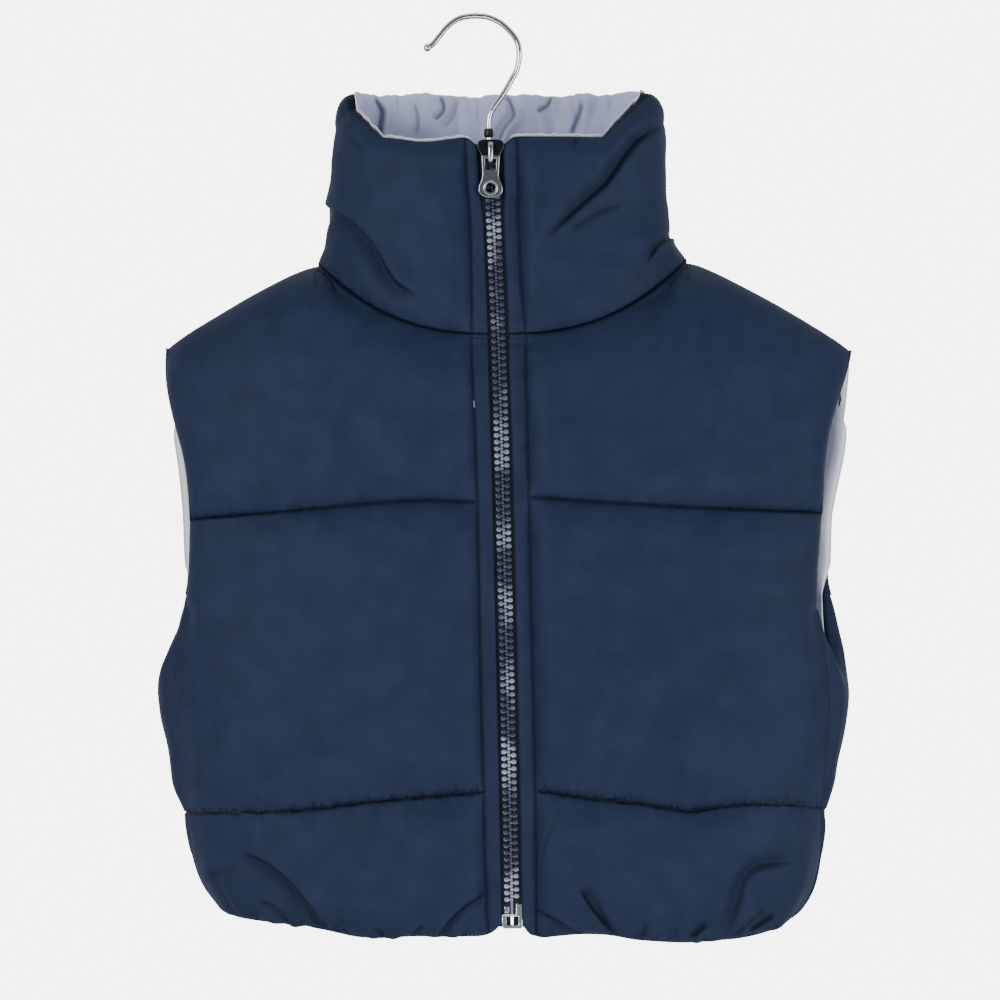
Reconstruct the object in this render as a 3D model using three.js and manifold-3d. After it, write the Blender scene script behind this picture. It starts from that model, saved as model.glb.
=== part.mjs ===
// A cropped puffer vest with a high stand collar and a front zip, hung on a wire-hook hanger.
// Millimetres, +Z up, -Y towards the viewer; the origin is the underside of the hook's top,
// where a rail or peg carries it. "Right" and "left" are the wearer's, so right is -X.
import * as THREE from "three";
import Module from "manifold-3d";
import { mergeVertices } from "three/addons/utils/BufferGeometryUtils.js";

const wasm = await Module();
wasm.setup();

const RIGHT = -1;
const LEFT = 1;

// Cloth
const seamWall = 2.4; // shell pinched at a seam
const padWall = 10.5; // shell and filling in the middle of a channel
const edgeWall = 3.4; // turned edge at the armholes and the collar's top
const seamGap = 0.35;
const neckGap = 0.6; // between the body and the collar, three times as much at the neck points
const neckSideWall = 2.5; // the neck seam is this much thicker at the neck points
const neckSideThin = 0.5; // the collar's filling is this share thinner just above the neck points
const hemSideThin = { right: 0.48, left: 0.22 }; // and the hem channel's at the body's sides
const riseReach = 26; // how far from a seam the filling reaches its full height
const edgeReach = 13;
const liningWall = 1;
const liningGap = 0.35;
const liningSlack = 1.1; // the lining hangs this far inside the shell between its seams
const ovalPower = 2.3; // superellipse power of the body's sections
const shoulderReach = 80; // how far below the shoulder seam the front and back stand fully apart
const sideSeamShare = 0.925; // the side seam lies here, as a share of the half width, on the front

// Zip
const foldEdge = 7.5; // from the zip's middle to the folded edge of each front
const tapeEdge = 14.2;
const stripWall = 2.2;
const tapeWall = 0.8;
const toothReach = 4.6;
const toothWall = 3.2;

// Landmarks of the hung vest
const neckLow = -190;
const backNeck = -151;
const neckDepth = { front: 40, back: 38 };
const neckShare = 0.515; // where the neck point falls along a front's top edge
const shoulder = {
  [RIGHT]: { neckX: -92, neckZ: -148.5, tipX: -183.5, tipZ: -199.8 },
  [LEFT]: { neckX: 125, neckZ: -146.5, tipX: 224, tipZ: -201 },
};
const shoulderCrown = 2.4;
const seamTop = -353; // top of the side seam, where the armhole starts
const armholeFoot = { backEdge: -346, lowest: -386 };
const hemHeight = -549.5;
const hemRise = 11; // the gathered hem climbs this much towards the side seams

// Inner surface of the body: a row for each section, x of its two sides and its two depths
const bodySections = [
  { z: -140, right: -188, left: 229, front: 42, back: 42 },
  { z: -205, right: -187, left: 228, front: 45, back: 47 },
  { z: -260, right: -181, left: 219, front: 49, back: 52 },
  { z: -330, right: -179, left: 214, front: 52, back: 55 },
  { z: -400, right: -179, left: 214, front: 54, back: 56 },
  { z: -440, right: -175, left: 210, front: 54, back: 56 },
  { z: -476, right: -171, left: 206, front: 52, back: 54 },
  { z: -510, right: -161, left: 198, front: 49, back: 50 },
  { z: -535, right: -147, left: 187, front: 44, back: 45 },
  { z: -553, right: -132, left: 172, front: 38, back: 39 },
];
// Armhole edges of the fronts and the back, x at each height
const armholeEdges = [
  { z: -200, frontRight: -183.5, frontLeft: 223, backRight: -183.5, backLeft: 224.5 },
  { z: -216, frontRight: -183, frontLeft: 216, backRight: -183, backLeft: 222 },
  { z: -240, frontRight: -179, frontLeft: 212, backRight: -179.5, backLeft: 219 },
  { z: -262, frontRight: -174, frontLeft: 208.5, backRight: -176, backLeft: 216 },
  { z: -296, frontRight: -171, frontLeft: 206, backRight: -174.5, backLeft: 213 },
  { z: -353, frontRight: -171, frontLeft: 204.5, backRight: -173, backLeft: 210 },
];
const zipLine = [
  { z: -40, x: 8 },
  { z: -72, x: 9 },
  { z: -191, x: 14 },
  { z: -341, x: 18 },
  { z: -546, x: 22.4 },
  { z: -560, x: 22.6 },
];
// Inner surface of the collar from the neck seam (rise 0) to its top edge (rise 1)
const collarSections = [
  { rise: 0, right: -92, left: 125, front: 40, back: 38 },
  { rise: 0.1, right: -84.5, left: 115.5, front: 40, back: 38 },
  { rise: 0.3, right: -78, left: 106, front: 39, back: 37 },
  { rise: 0.65, right: -74.5, left: 103, front: 38, back: 36 },
  { rise: 1, right: -73, left: 102.5, front: 36, back: 35 },
];
const collarTop = { front: -72, side: -45.3, dipFrom: 0.7, dipTo: 0.96, zipNotch: 4, notchReach: 11 };

// Soft troughs of the fronts and the collar: x and z of the start, bend and end
const folds = [
  { x: -92, z: -111, bendX: -60, bendZ: -124, endX: -33, endZ: -166, width: 9, depth: 5.5 },
  { x: 112, z: -60, bendX: 80, bendZ: -112, endX: 42, endZ: -137, width: 9, depth: 5.5 },
  { x: 120, z: -136, bendX: 106, bendZ: -143, endX: 100, endZ: -156, width: 6, depth: 3.5 },
  { x: -142, z: -498, bendX: -112, bendZ: -522, endX: -93, endZ: -548, width: 9, depth: 6 },
  { x: -132, z: -528, bendX: -122, bendZ: -536, endX: -114, endZ: -545, width: 6, depth: 4 },
  { x: 10, z: -532, bendX: -2, bendZ: -538, endX: -14, endZ: -550, width: 6, depth: 4 },
  { x: 64, z: -524, bendX: 72, bendZ: -536, endX: 80, endZ: -548, width: 6, depth: 4.5 },
  { x: 36, z: -536, bendX: 50, bendZ: -543, endX: 66, endZ: -549, width: 6, depth: 4 },
  { x: 196, z: -508, bendX: 168, bendZ: -514, endX: 156, endZ: -548, width: 9, depth: 6 },
];
const gatherDepth = 1.1; // every second column of the hem's channel sinks this much at the hem
const gatherReach = 45;

// Column and row places. A front runs from its folded edge to its side edge.
const stitchShare = 0.05;
const frontColumns = [
  0, stitchShare, 0.075, 0.13, 0.2, 0.275, 0.35, 0.425, 0.485, 0.507, neckShare,
  0.575, 0.65, 0.73, 0.81, 0.88, 0.94, 0.98, 1,
];
const backNeckShare = 0.43;
const backArmShare = 0.775;
const backHalf = [
  0, 0.08, 0.16, 0.24, 0.32, 0.39, 0.42, backNeckShare, 0.49, 0.56, 0.63, 0.7, 0.75,
  backArmShare, 0.8, 0.84, 0.88, 0.92, 0.97, 1,
];
const channelRows = {
  lower: [0, 0.05, 0.16, 0.36, 0.6, 0.82, 0.95],
  middle: [0, 0.04, 0.13, 0.32, 0.5, 0.7013, 0.87, 0.96],
  belowArmhole: [0, 0.057, 0.1854, 0.4563, 0.713],
  aboveArmhole: [0, 0.45, 0.76, 0.93],
  upper: [0, 0.05, 0.15, 0.35, 0.58, 0.78, 0.92, 0.98, 1],
};
const collarRises = [0, 0.04, 0.12, 0.25, 0.38, 0.51, 0.64, 0.78, 0.91, 0.97, 1];

// Hanger
const wireRadius = 1.9;
const hookRadius = 27; // to the wire's middle
const hookTip = { x: -28.6, z: -18.6, radius: 2.4 };
const stem = { x: 8.2, bendZ: -61, foot: -97.6 };
const sleeve = { top: -67, foot: -72, radius: 2.8 };
const hangerNeck = { top: -98, radius: 5.5 };
const armSection = { height: 8.5, width: 6 };
const armCentreZ = -112;
const armGap = 0.6; // under the shoulder seams, which rest on the arms
const armReach = { [RIGHT]: -168, [LEFT]: 208 };

// Materials, one for each finish
const material = (color, roughness, metalness = 0) =>
  new THREE.MeshStandardMaterial({ color, roughness, metalness });
const finishes = {
  shell: material(0x26344f, 0.62),
  lining: material(0xaab0cb, 0.7),
  tape: material(0x141c30, 0.85),
  teeth: material(0x1d2a45, 0.35),
  hardware: material(0x30343c, 0.35, 1),
  zipEnd: material(0xb9bec8, 0.35, 1),
  chrome: material(0xd8d9de, 0.12, 1),
  hanger: material(0x101114, 0.45),
};

const lerp = THREE.MathUtils.lerp;
const clamp = THREE.MathUtils.clamp;
const at = (x, y, z) => new THREE.Vector3(x, y, z);
const oval = (share) => Math.pow(Math.max(0, 1 - Math.pow(share, ovalPower)), 1 / ovalPower);

// A named column of a table at a place, on a smooth curve through the rows.
function read(table, place, name, key = "z") {
  const falling = table[0][key] > table[table.length - 1][key];
  const rows = falling ? [...table].reverse() : table;
  let i = rows.findIndex((row) => row[key] >= place);
  if (i === 0) return rows[0][name];
  if (i < 0) return rows[rows.length - 1][name];
  const slope = (k) => {
    const low = rows[Math.max(0, k - 1)];
    const high = rows[Math.min(rows.length - 1, k + 1)];
    return (high[name] - low[name]) / (high[key] - low[key]);
  };
  const [a, b] = [rows[i - 1], rows[i]];
  const span = b[key] - a[key];
  const t = (place - a[key]) / span;
  const rise = t * t * (3 - 2 * t);
  return (
    lerp(a[name], b[name], rise) +
    span * (slope(i - 1) * t * (1 - t) * (1 - t) - slope(i) * t * t * (1 - t))
  );
}
const zipX = (z) => read(zipLine, z, "x");
const sideName = (side) => (side === RIGHT ? "right" : "left");
const halfWidth = (side, z) => side * (read(bodySections, z, sideName(side)) - zipX(z));
const edgeX = (side, z, panel) =>
  read(armholeEdges, z, panel + (side === RIGHT ? "Right" : "Left"));

// Outline of a front's and the back's edges
function frontEdgeX(side, z) {
  if (z > seamTop) return edgeX(side, z, "front");
  const below = zipX(z) + side * halfWidth(side, z) * sideSeamShare;
  const atTop = zipX(seamTop) + side * halfWidth(side, seamTop) * sideSeamShare;
  const join = clamp((seamTop - z) / 30, 0, 1);
  return lerp(edgeX(side, seamTop, "front") + below - atTop, below, join);
}
const seamShare = (side, z) => (side * (frontEdgeX(side, z) - zipX(z))) / halfWidth(side, z);

// The neck seam: share 0 is the zip's or the back's middle, 1 the neck point
function neckPoint(side, share, facing) {
  const { neckX, neckZ } = shoulder[side];
  const middle = zipX(neckLow);
  const width = side * (neckX - middle);
  const depth = facing < 0 ? neckDepth.front : neckDepth.back;
  const z =
    facing < 0
      ? lerp(neckLow, neckZ, Math.pow(share, 2.6))
      : lerp(backNeck, neckZ, share * share);
  return at(middle + side * width * share, facing * (depth * oval(share) + seamGap / 2), z);
}
function shoulderPoint(side, share, facing) {
  const { neckX, neckZ, tipX, tipZ } = shoulder[side];
  const crown = shoulderCrown * 4 * share * (1 - share);
  return at(
    lerp(neckX, tipX, share),
    (facing * seamGap) / 2,
    lerp(neckZ, tipZ, share) + crown,
  );
}
// Where the thickness points at the neck seam: outwards, and upwards at the neck points
function neckOut(side, share, facing) {
  const corner = share ** 6;
  return at(side * share * share, facing * (1.02 - corner), 0.35 + 0.75 * corner).normalize();
}
const neckWall = (share) => seamWall + neckSideWall * share ** 6;
const frontNeckShare = (side, column) => {
  const fold = foldEdge / (side * (shoulder[side].neckX - zipX(neckLow)));
  return lerp(fold, 1, column / neckShare);
};

const roundOver = (drop) => {
  const left = 1 - clamp(drop / shoulderReach, 0, 1);
  return Math.pow(1 - Math.pow(left, 2.2), 1 / 2.2);
};
const rise = (distance, reach = riseReach) => {
  const left = 1 - clamp(distance / reach, 0, 1);
  return Math.sqrt(1 - left * left);
};

// How deep the folds cut at a point of the front, from its distance to each fold's curve
function foldDepth(point) {
  let sum = 0;
  for (const fold of folds) {
    const curve = new THREE.QuadraticBezierCurve(
      new THREE.Vector2(fold.x, fold.z),
      new THREE.Vector2(fold.bendX, fold.bendZ),
      new THREE.Vector2(fold.endX, fold.endZ),
    );
    let nearest = Infinity;
    for (const p of curve.getPoints(14)) {
      nearest = Math.min(nearest, Math.hypot(p.x - point.x, p.y - point.z));
    }
    sum += fold.depth * Math.exp(-((nearest / fold.width) ** 2));
  }
  return sum;
}

// Heights of the seam lines across a panel; share 0 is its middle, 1 its side seam
const hemLine = (share) => hemHeight + hemRise * share ** 4;
const lowerQuilt = (share) => -461.7 - 15 * Math.pow(Math.sin((share * Math.PI) / 2), 1.2);
const upperQuilt = (share) => -289.5 - 10.8 * share;

// A closed wall from a grid whose cells hold an inner and an outer point, or null where the panel is
// cut away; flip turns its faces the other way round.
function wallGeometry(grid, flip) {
  const positions = [];
  const faces = [];
  const index = grid.map((column) =>
    column.map((cell) => {
      if (!cell) return null;
      positions.push(...cell.outer.toArray(), ...cell.inner.toArray());
      return positions.length / 3 - 2;
    }),
  );
  function quad(a, b, c, d) {
    if (flip) faces.push(a, c, b, a, d, c);
    else faces.push(a, b, c, a, c, d);
  }
  const whole = (i, j) =>
    index[i]?.[j] != null &&
    index[i + 1]?.[j] != null &&
    index[i]?.[j + 1] != null &&
    index[i + 1]?.[j + 1] != null;
  for (let i = 0; i < grid.length - 1; i++) {
    for (let j = 0; j < grid[0].length - 1; j++) {
      if (!whole(i, j)) continue;
      const [a, b, c, d] = [index[i][j], index[i + 1][j], index[i + 1][j + 1], index[i][j + 1]];
      quad(a, b, c, d);
      quad(a + 1, d + 1, c + 1, b + 1);
      if (!whole(i, j - 1)) quad(b, a, a + 1, b + 1);
      if (!whole(i + 1, j)) quad(c, b, b + 1, c + 1);
      if (!whole(i, j + 1)) quad(d, c, c + 1, d + 1);
      if (!whole(i - 1, j)) quad(a, d, d + 1, a + 1);
    }
  }
  const geometry = new THREE.BufferGeometry();
  geometry.setAttribute("position", new THREE.Float32BufferAttribute(positions, 3));
  geometry.setIndex(faces);
  return geometry;
}

// Unit normals of a grid of points, pointing to the side that flip says
function normalsOf(points, flip) {
  const sign = flip ? -1 : 1;
  return points.map((column, i) =>
    column.map((point, j) => {
      if (!point) return null;
      const left = points[i - 1]?.[j] ?? point;
      const right = points[i + 1]?.[j] ?? point;
      const down = column[j - 1] ?? point;
      const up = column[j + 1] ?? point;
      const along = right.clone().sub(left);
      return along.cross(up.clone().sub(down)).normalize().multiplyScalar(sign);
    }),
  );
}

// Joins inner points, thicknesses and set directions into a wall's grid
function standOff(points, thickness, direction, flip) {
  const normals = normalsOf(points, flip);
  return points.map((column, i) =>
    column.map((inner, j) => {
      if (!inner) return null;
      const out = direction(i, j) ?? normals[i][j];
      return { inner, outer: inner.clone().addScaledVector(out, thickness(i, j)), out };
    }),
  );
}

// The lining's wall: every second point of a panel's inside, moved in by the gap
function liningGrid(panel, keepColumns, keepRows) {
  return keepColumns.map((i) =>
    keepRows.map((j) => {
      const cell = panel[i][j];
      if (!cell) return null;
      const outer = cell.inner.clone().addScaledVector(cell.out, -liningSlack);
      return { outer, inner: outer.clone().addScaledVector(cell.out, -liningWall) };
    }),
  );
}

// A front panel
const frontRows = [
  ...channelRows.lower.map((t) => ({ from: "hem", t })),
  ...channelRows.middle.map((t) => ({ from: "lower", t })),
  ...channelRows.upper.map((t) => ({ from: "upper", t })),
];
function frontTop(side, column) {
  if (column <= neckShare) return neckPoint(side, frontNeckShare(side, column), -1);
  return shoulderPoint(side, (column - neckShare) / (1 - neckShare), -1);
}
function frontHeights(side, column, row) {
  const lines = {
    hem: hemLine(column),
    lower: lowerQuilt(column),
    upper: upperQuilt(column),
    top: frontTop(side, column).z,
  };
  const next = { hem: "lower", lower: "upper", upper: "top" }[row.from];
  return { low: lines[row.from], high: lines[next], z: lerp(lines[row.from], lines[next], row.t) };
}
function frontPoint(side, column, row) {
  const { z } = frontHeights(side, column, row);
  const foldX = zipX(frontHeights(side, 0, row).z) + side * foldEdge;
  const top = frontTop(side, column);
  const sideX = frontEdgeX(side, frontHeights(side, 1, row).z) - (side * seamGap) / 2;
  let x = lerp(foldX, sideX, column);
  const nearTop = row.from === "upper" ? row.t ** 3 : 0;
  x = lerp(x, top.x, nearTop);
  const share = clamp((side * (x - zipX(z))) / halfWidth(side, z), 0, 1);
  const body = -read(bodySections, z, "front") * oval(share);
  return at(x, lerp(top.y, body, roundOver(top.z - z)), z);
}
const hemFilling = (side, row, share) =>
  row.from === "hem" ? 1 - hemSideThin[sideName(side)] * THREE.MathUtils.smoothstep(share, 0.5, 0.95) : 1;
function frontThickness(side, column, row, index) {
  if (column < stitchShare) return stripWall;
  if (row.from === "upper" && row.t === 1 && column <= neckShare) {
    return neckWall(frontNeckShare(side, column));
  }
  const { low, high, z } = frontHeights(side, column, row);
  const width = side * (frontEdgeX(side, z) - zipX(z));
  const acrossRise = rise((column - stitchShare) * width, 14);
  const edge = rise((1 - column) * width, z > seamTop ? edgeReach : riseReach);
  const upDown = rise(z - low) * rise(high - z);
  const base = column > 0.999 && z > seamTop ? edgeWall : seamWall;
  const filling = acrossRise * edge * upDown * hemFilling(side, row, column);
  let wall = base + (padWall - base) * filling;
  if (column > stitchShare && column < 1) {
    wall -= foldDepth(frontPoint(side, column, row)) * upDown;
    if (index % 2) wall -= gatherDepth * clamp(1 - (z - hemHeight) / gatherReach, 0, 1);
  }
  return Math.max(wall, seamWall * 0.7);
}
function frontGrid(side) {
  const points = frontColumns.map((column) =>
    frontRows.map((row) => frontPoint(side, column, row)),
  );
  const last = frontRows.length - 1;
  const atNeck = (i, j) =>
    j === last && frontColumns[i] <= neckShare
      ? neckOut(side, frontNeckShare(side, frontColumns[i]), -1)
      : null;
  return standOff(
    points,
    (i, j) => frontThickness(side, frontColumns[i], frontRows[j], i),
    atNeck,
    side === RIGHT,
  );
}

// The back panel, which wraps forwards to the side seams below the armholes
const backRows = [
  ...channelRows.lower.map((t) => ({ from: "hem", t })),
  ...channelRows.belowArmhole.map((t) => ({ from: "lower", t })),
  ...channelRows.aboveArmhole.map((t) => ({ from: "armhole", t })),
  ...channelRows.upper.map((t) => ({ from: "upper", t })),
];
const backColumns = [
  ...backHalf.slice(1).reverse().map((share) => ({ side: RIGHT, share })),
  ...backHalf.map((share) => ({ side: LEFT, share })),
];
function backTop({ side, share }) {
  if (share <= backNeckShare) return neckPoint(side, share / backNeckShare, 1);
  return shoulderPoint(side, (share - backNeckShare) / (backArmShare - backNeckShare), 1);
}
// The armhole's foot: a round dip between the back edge and the top of the side seam
function armholeLine(share) {
  if (share <= backArmShare) return armholeFoot.backEdge;
  const t = (share - backArmShare) / (1 - backArmShare);
  const ends = lerp(armholeFoot.backEdge, seamTop, t);
  return ends + (armholeFoot.lowest - ends) * Math.pow(Math.sin(Math.PI * t), 0.8);
}
function backHeights(column, row) {
  const across = Math.min(1, column.share / backArmShare);
  const lines = {
    hem: hemLine(column.share),
    lower: lowerQuilt(across),
    armhole: armholeLine(column.share),
    upper: upperQuilt(across),
    top: backTop(column).z,
  };
  const next = { hem: "lower", lower: "armhole", armhole: "upper", upper: "top" }[row.from];
  const z = lerp(lines[row.from], lines[next], row.t);
  const channel = { hem: ["hem", "lower"], lower: ["lower", "upper"], armhole: ["lower", "upper"] };
  const [low, high] = channel[row.from] ?? ["upper", "top"];
  return { z, low: lines[low], high: lines[high], foot: lines.armhole };
}
function backPoint(column, row) {
  const { side, share } = column;
  const { z } = backHeights(column, row);
  const half = halfWidth(side, z);
  const middle = zipX(z);
  const edgeZ = Math.max(backHeights({ side, share: backArmShare }, row).z, seamTop);
  const edgeShare = (side * (edgeX(side, edgeZ, "back") - zipX(edgeZ))) / halfWidth(side, edgeZ);
  if (share > backArmShare) {
    const from = Math.asin(Math.pow(edgeShare, ovalPower / 2));
    const to = Math.PI - Math.asin(Math.pow(seamShare(side, z), ovalPower / 2));
    const turn = lerp(from, to, (share - backArmShare) / (1 - backArmShare));
    const behind = turn < Math.PI / 2;
    const depth = behind ? read(bodySections, z, "back") : -read(bodySections, z, "front");
    const out = Math.pow(Math.sin(turn), 2 / ovalPower);
    const deep = Math.pow(Math.abs(Math.cos(turn)), 2 / ovalPower);
    const clear = share === 1 ? (side * seamGap) / 2 : 0;
    return at(middle + side * half * out + clear, depth * deep, z);
  }
  const top = backTop(column);
  const neck = (side * (shoulder[side].neckX - zipX(neckLow))) / halfWidth(side, neckLow);
  const across =
    share <= backNeckShare
      ? neck * (share / backNeckShare)
      : lerp(neck, edgeShare, (share - backNeckShare) / (backArmShare - backNeckShare));
  let x = middle + side * half * across;
  if (row.from === "upper") x = lerp(x, top.x, row.t ** 3);
  const y = read(bodySections, z, "back") * oval(clamp((side * (x - middle)) / half, 0, 1));
  return at(x, lerp(top.y, y, roundOver(top.z - z)), z);
}
function backThickness(column, row, index) {
  const { side, share } = column;
  if (row.from === "upper" && row.t === 1 && share <= backNeckShare) {
    return neckWall(share / backNeckShare);
  }
  const { low, high, z, foot } = backHeights(column, row);
  const width = halfWidth(side, z) * 1.25;
  const underArm = share > backArmShare;
  const onEdge = underArm ? row.from === "armhole" : share === backArmShare && z > foot;
  let filling = rise(z - low) * hemFilling(side, row, share);
  if (underArm) filling *= rise((1 - share) * width) * rise(foot - z, edgeReach);
  else filling *= rise(high - z);
  if (!underArm && z > foot) filling *= rise((backArmShare - share) * width, edgeReach);
  const base = onEdge ? edgeWall : seamWall;
  let wall = base + (padWall - base) * filling;
  if (index % 2 && share < 1) wall -= gatherDepth * clamp(1 - (z - hemHeight) / gatherReach, 0, 1);
  return Math.max(wall, seamWall * 0.7);
}
function backGrid() {
  const firstAbove = backRows.findIndex((row) => row.from === "armhole");
  const points = backColumns.map((column) =>
    backRows.map((row, j) =>
      column.share > backArmShare && j > firstAbove ? null : backPoint(column, row),
    ),
  );
  const last = backRows.length - 1;
  return standOff(
    points,
    (i, j) => backThickness(backColumns[i], backRows[j], i),
    (i, j) => {
      const { side, share } = backColumns[i];
      return j === last && share <= backNeckShare ? neckOut(side, share / backNeckShare, 1) : null;
    },
    true,
  );
}

// The collar: one band from fold edge to fold edge, round the back of the neck
const frontCollar = (side) =>
  frontColumns
    .filter((column) => column <= neckShare)
    .map((column) => ({ side, share: frontNeckShare(side, column), facing: -1, column }));
const backCollar = (side) =>
  backHalf
    .filter((share) => share < backNeckShare)
    .map((share) => ({ side, share: share / backNeckShare, facing: 1 }));
const collarColumns = [
  ...frontCollar(RIGHT),
  ...backCollar(RIGHT).reverse(),
  ...backCollar(LEFT).slice(1),
  ...frontCollar(LEFT).reverse(),
];
function collarTopHeight({ side, share, facing }) {
  if (facing > 0) return collarTop.side;
  const climb = THREE.MathUtils.smoothstep(share, collarTop.dipFrom, collarTop.dipTo);
  const fromZip = share * side * (shoulder[side].neckX - zipX(neckLow)) - foldEdge;
  const notch = collarTop.zipNotch * Math.exp(-((fromZip / collarTop.notchReach) ** 2));
  return lerp(collarTop.front, collarTop.side, climb) - notch;
}
function collarPoint(column, risen) {
  const { side, share, facing } = column;
  const base = neckPoint(side, share, facing);
  const z = lerp(base.z + neckGap * (1 + 2 * share ** 8), collarTopHeight(column), risen);
  const middle = zipX(lerp(neckLow, collarTop.front, risen));
  const half = side * (read(collarSections, risen, sideName(side), "rise") - middle);
  const foldShare = frontNeckShare(side, 0);
  const fromFold = (share - foldShare) / (1 - foldShare);
  const across = facing < 0 ? lerp(foldEdge / half, 1, fromFold) : share;
  const depth = read(collarSections, risen, facing < 0 ? "front" : "back", "rise");
  return at(middle + side * half * across, facing * (depth * oval(across) + seamGap / 2), z);
}
function collarThickness(column, risen) {
  if (column.column === 0) return stripWall;
  if (risen === 0) return neckWall(column.share);
  const z = collarPoint(column, risen).z;
  const top = collarTopHeight(column);
  const toZip = column.column === undefined ? 1 : rise((column.column - stitchShare) * 200, 14);
  const foot = neckPoint(column.side, column.share, column.facing).z;
  const upDown = rise(z - foot) * rise(top - z, edgeReach);
  const base = risen === 1 ? edgeWall : seamWall;
  const thin = neckSideThin * column.share ** 6 * Math.max(0, 1 - risen / 0.3);
  let wall = base + (padWall - base) * toZip * upDown * (1 - thin);
  if (column.facing < 0) wall -= foldDepth(collarPoint(column, risen)) * upDown;
  return Math.max(wall, seamWall * 0.7);
}
function collarGrid() {
  const points = collarColumns.map((column) =>
    collarRises.map((risen) => collarPoint(column, risen)),
  );
  return standOff(
    points,
    (i, j) => collarThickness(collarColumns[i], collarRises[j]),
    (i, j) => {
      const { side, share, facing } = collarColumns[i];
      return j === 0 ? neckOut(side, share, facing) : null;
    },
    true,
  );
}

const fronts = { [RIGHT]: frontGrid(RIGHT), [LEFT]: frontGrid(LEFT) };
const collarWall = collarGrid();

// The zip lies behind the innermost cloth beside it, at every height of the panels' rows
const edgeLines = [RIGHT, LEFT].flatMap((side) =>
  [0, 1].map((i) => {
    const collarColumn = collarWall.at(side === RIGHT ? i : -1 - i);
    return [...fronts[side][i], ...collarColumn].map(({ inner }) => inner);
  }),
);
function depthOn(line, z) {
  const next = line.findIndex((point) => point.z >= z);
  if (next === 0) return line[0].y;
  if (next < 0) return line.at(-1).y;
  const [a, b] = [line[next - 1], line[next]];
  return lerp(a.y, b.y, (z - a.z) / (b.z - a.z));
}
const zipDepth = (z) => Math.max(...edgeLines.map((line) => depthOn(line, z)));
const zipHeights = edgeLines
  .flat()
  .map((point) => point.z)
  .sort((a, b) => a - b)
  .filter((z, i, all) => i === 0 || z - all[i - 1] > 0.6);

// A bar that follows the zip, from near to far of its middle line and from front to back of the
// cloth's inner surface
function zipBar(side, near, far, front, back, topZ, footZ) {
  const between = zipHeights.filter((z) => z > footZ + 1 && z < topZ - 1);
  const heights = [footZ, ...between, topZ];
  const grid = [near, far].map((reach) =>
    heights.map((z) => {
      const x = zipX(z) + side * reach;
      const y = zipDepth(z);
      return { outer: at(x, y + front, z), inner: at(x, y + back, z) };
    }),
  );
  return wallGeometry(grid, side === RIGHT);
}

// Booleans
function solidOf(geometry) {
  const bare = geometry.clone();
  bare.deleteAttribute("normal");
  bare.deleteAttribute("uv");
  const merged = mergeVertices(bare, 1e-4);
  return new wasm.Manifold(
    new wasm.Mesh({
      numProp: 3,
      vertProperties: new Float32Array(merged.attributes.position.array),
      triVerts: new Uint32Array(merged.index.array),
    }),
  );
}
function geometryOf(solid) {
  const { numProp, vertProperties, triVerts } = solid.getMesh();
  const positions = new Float32Array((vertProperties.length / numProp) * 3);
  for (let i = 0; i < positions.length / 3; i++) {
    positions.set(vertProperties.subarray(i * numProp, i * numProp + 3), i * 3);
  }
  const geometry = new THREE.BufferGeometry();
  geometry.setAttribute("position", new THREE.BufferAttribute(positions, 3));
  geometry.setIndex(new THREE.BufferAttribute(triVerts, 1));
  return geometry;
}
const joined = (...geometries) => geometryOf(geometries.map(solidOf).reduce((a, b) => a.add(b)));
const cut = (geometry, ...tools) =>
  geometryOf(tools.map(solidOf).reduce((a, b) => a.subtract(b), solidOf(geometry)));

// A plate in the XZ plane from an outline, with its front face at y and its depth behind it
function plate(outline, y, depth, holes = []) {
  const shape = new THREE.Shape(outline.map(([x, z]) => new THREE.Vector2(x, z)));
  shape.holes.push(...holes);
  const options = { depth, bevelEnabled: false, curveSegments: 6 };
  const geometry = new THREE.ExtrudeGeometry(shape, options);
  geometry.rotateX(Math.PI / 2);
  geometry.translate(0, y + depth, 0);
  return geometry;
}
const box = (x, y, z, sx, sy, sz) => new THREE.BoxGeometry(sx, sy, sz).translate(x, y, z);

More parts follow.
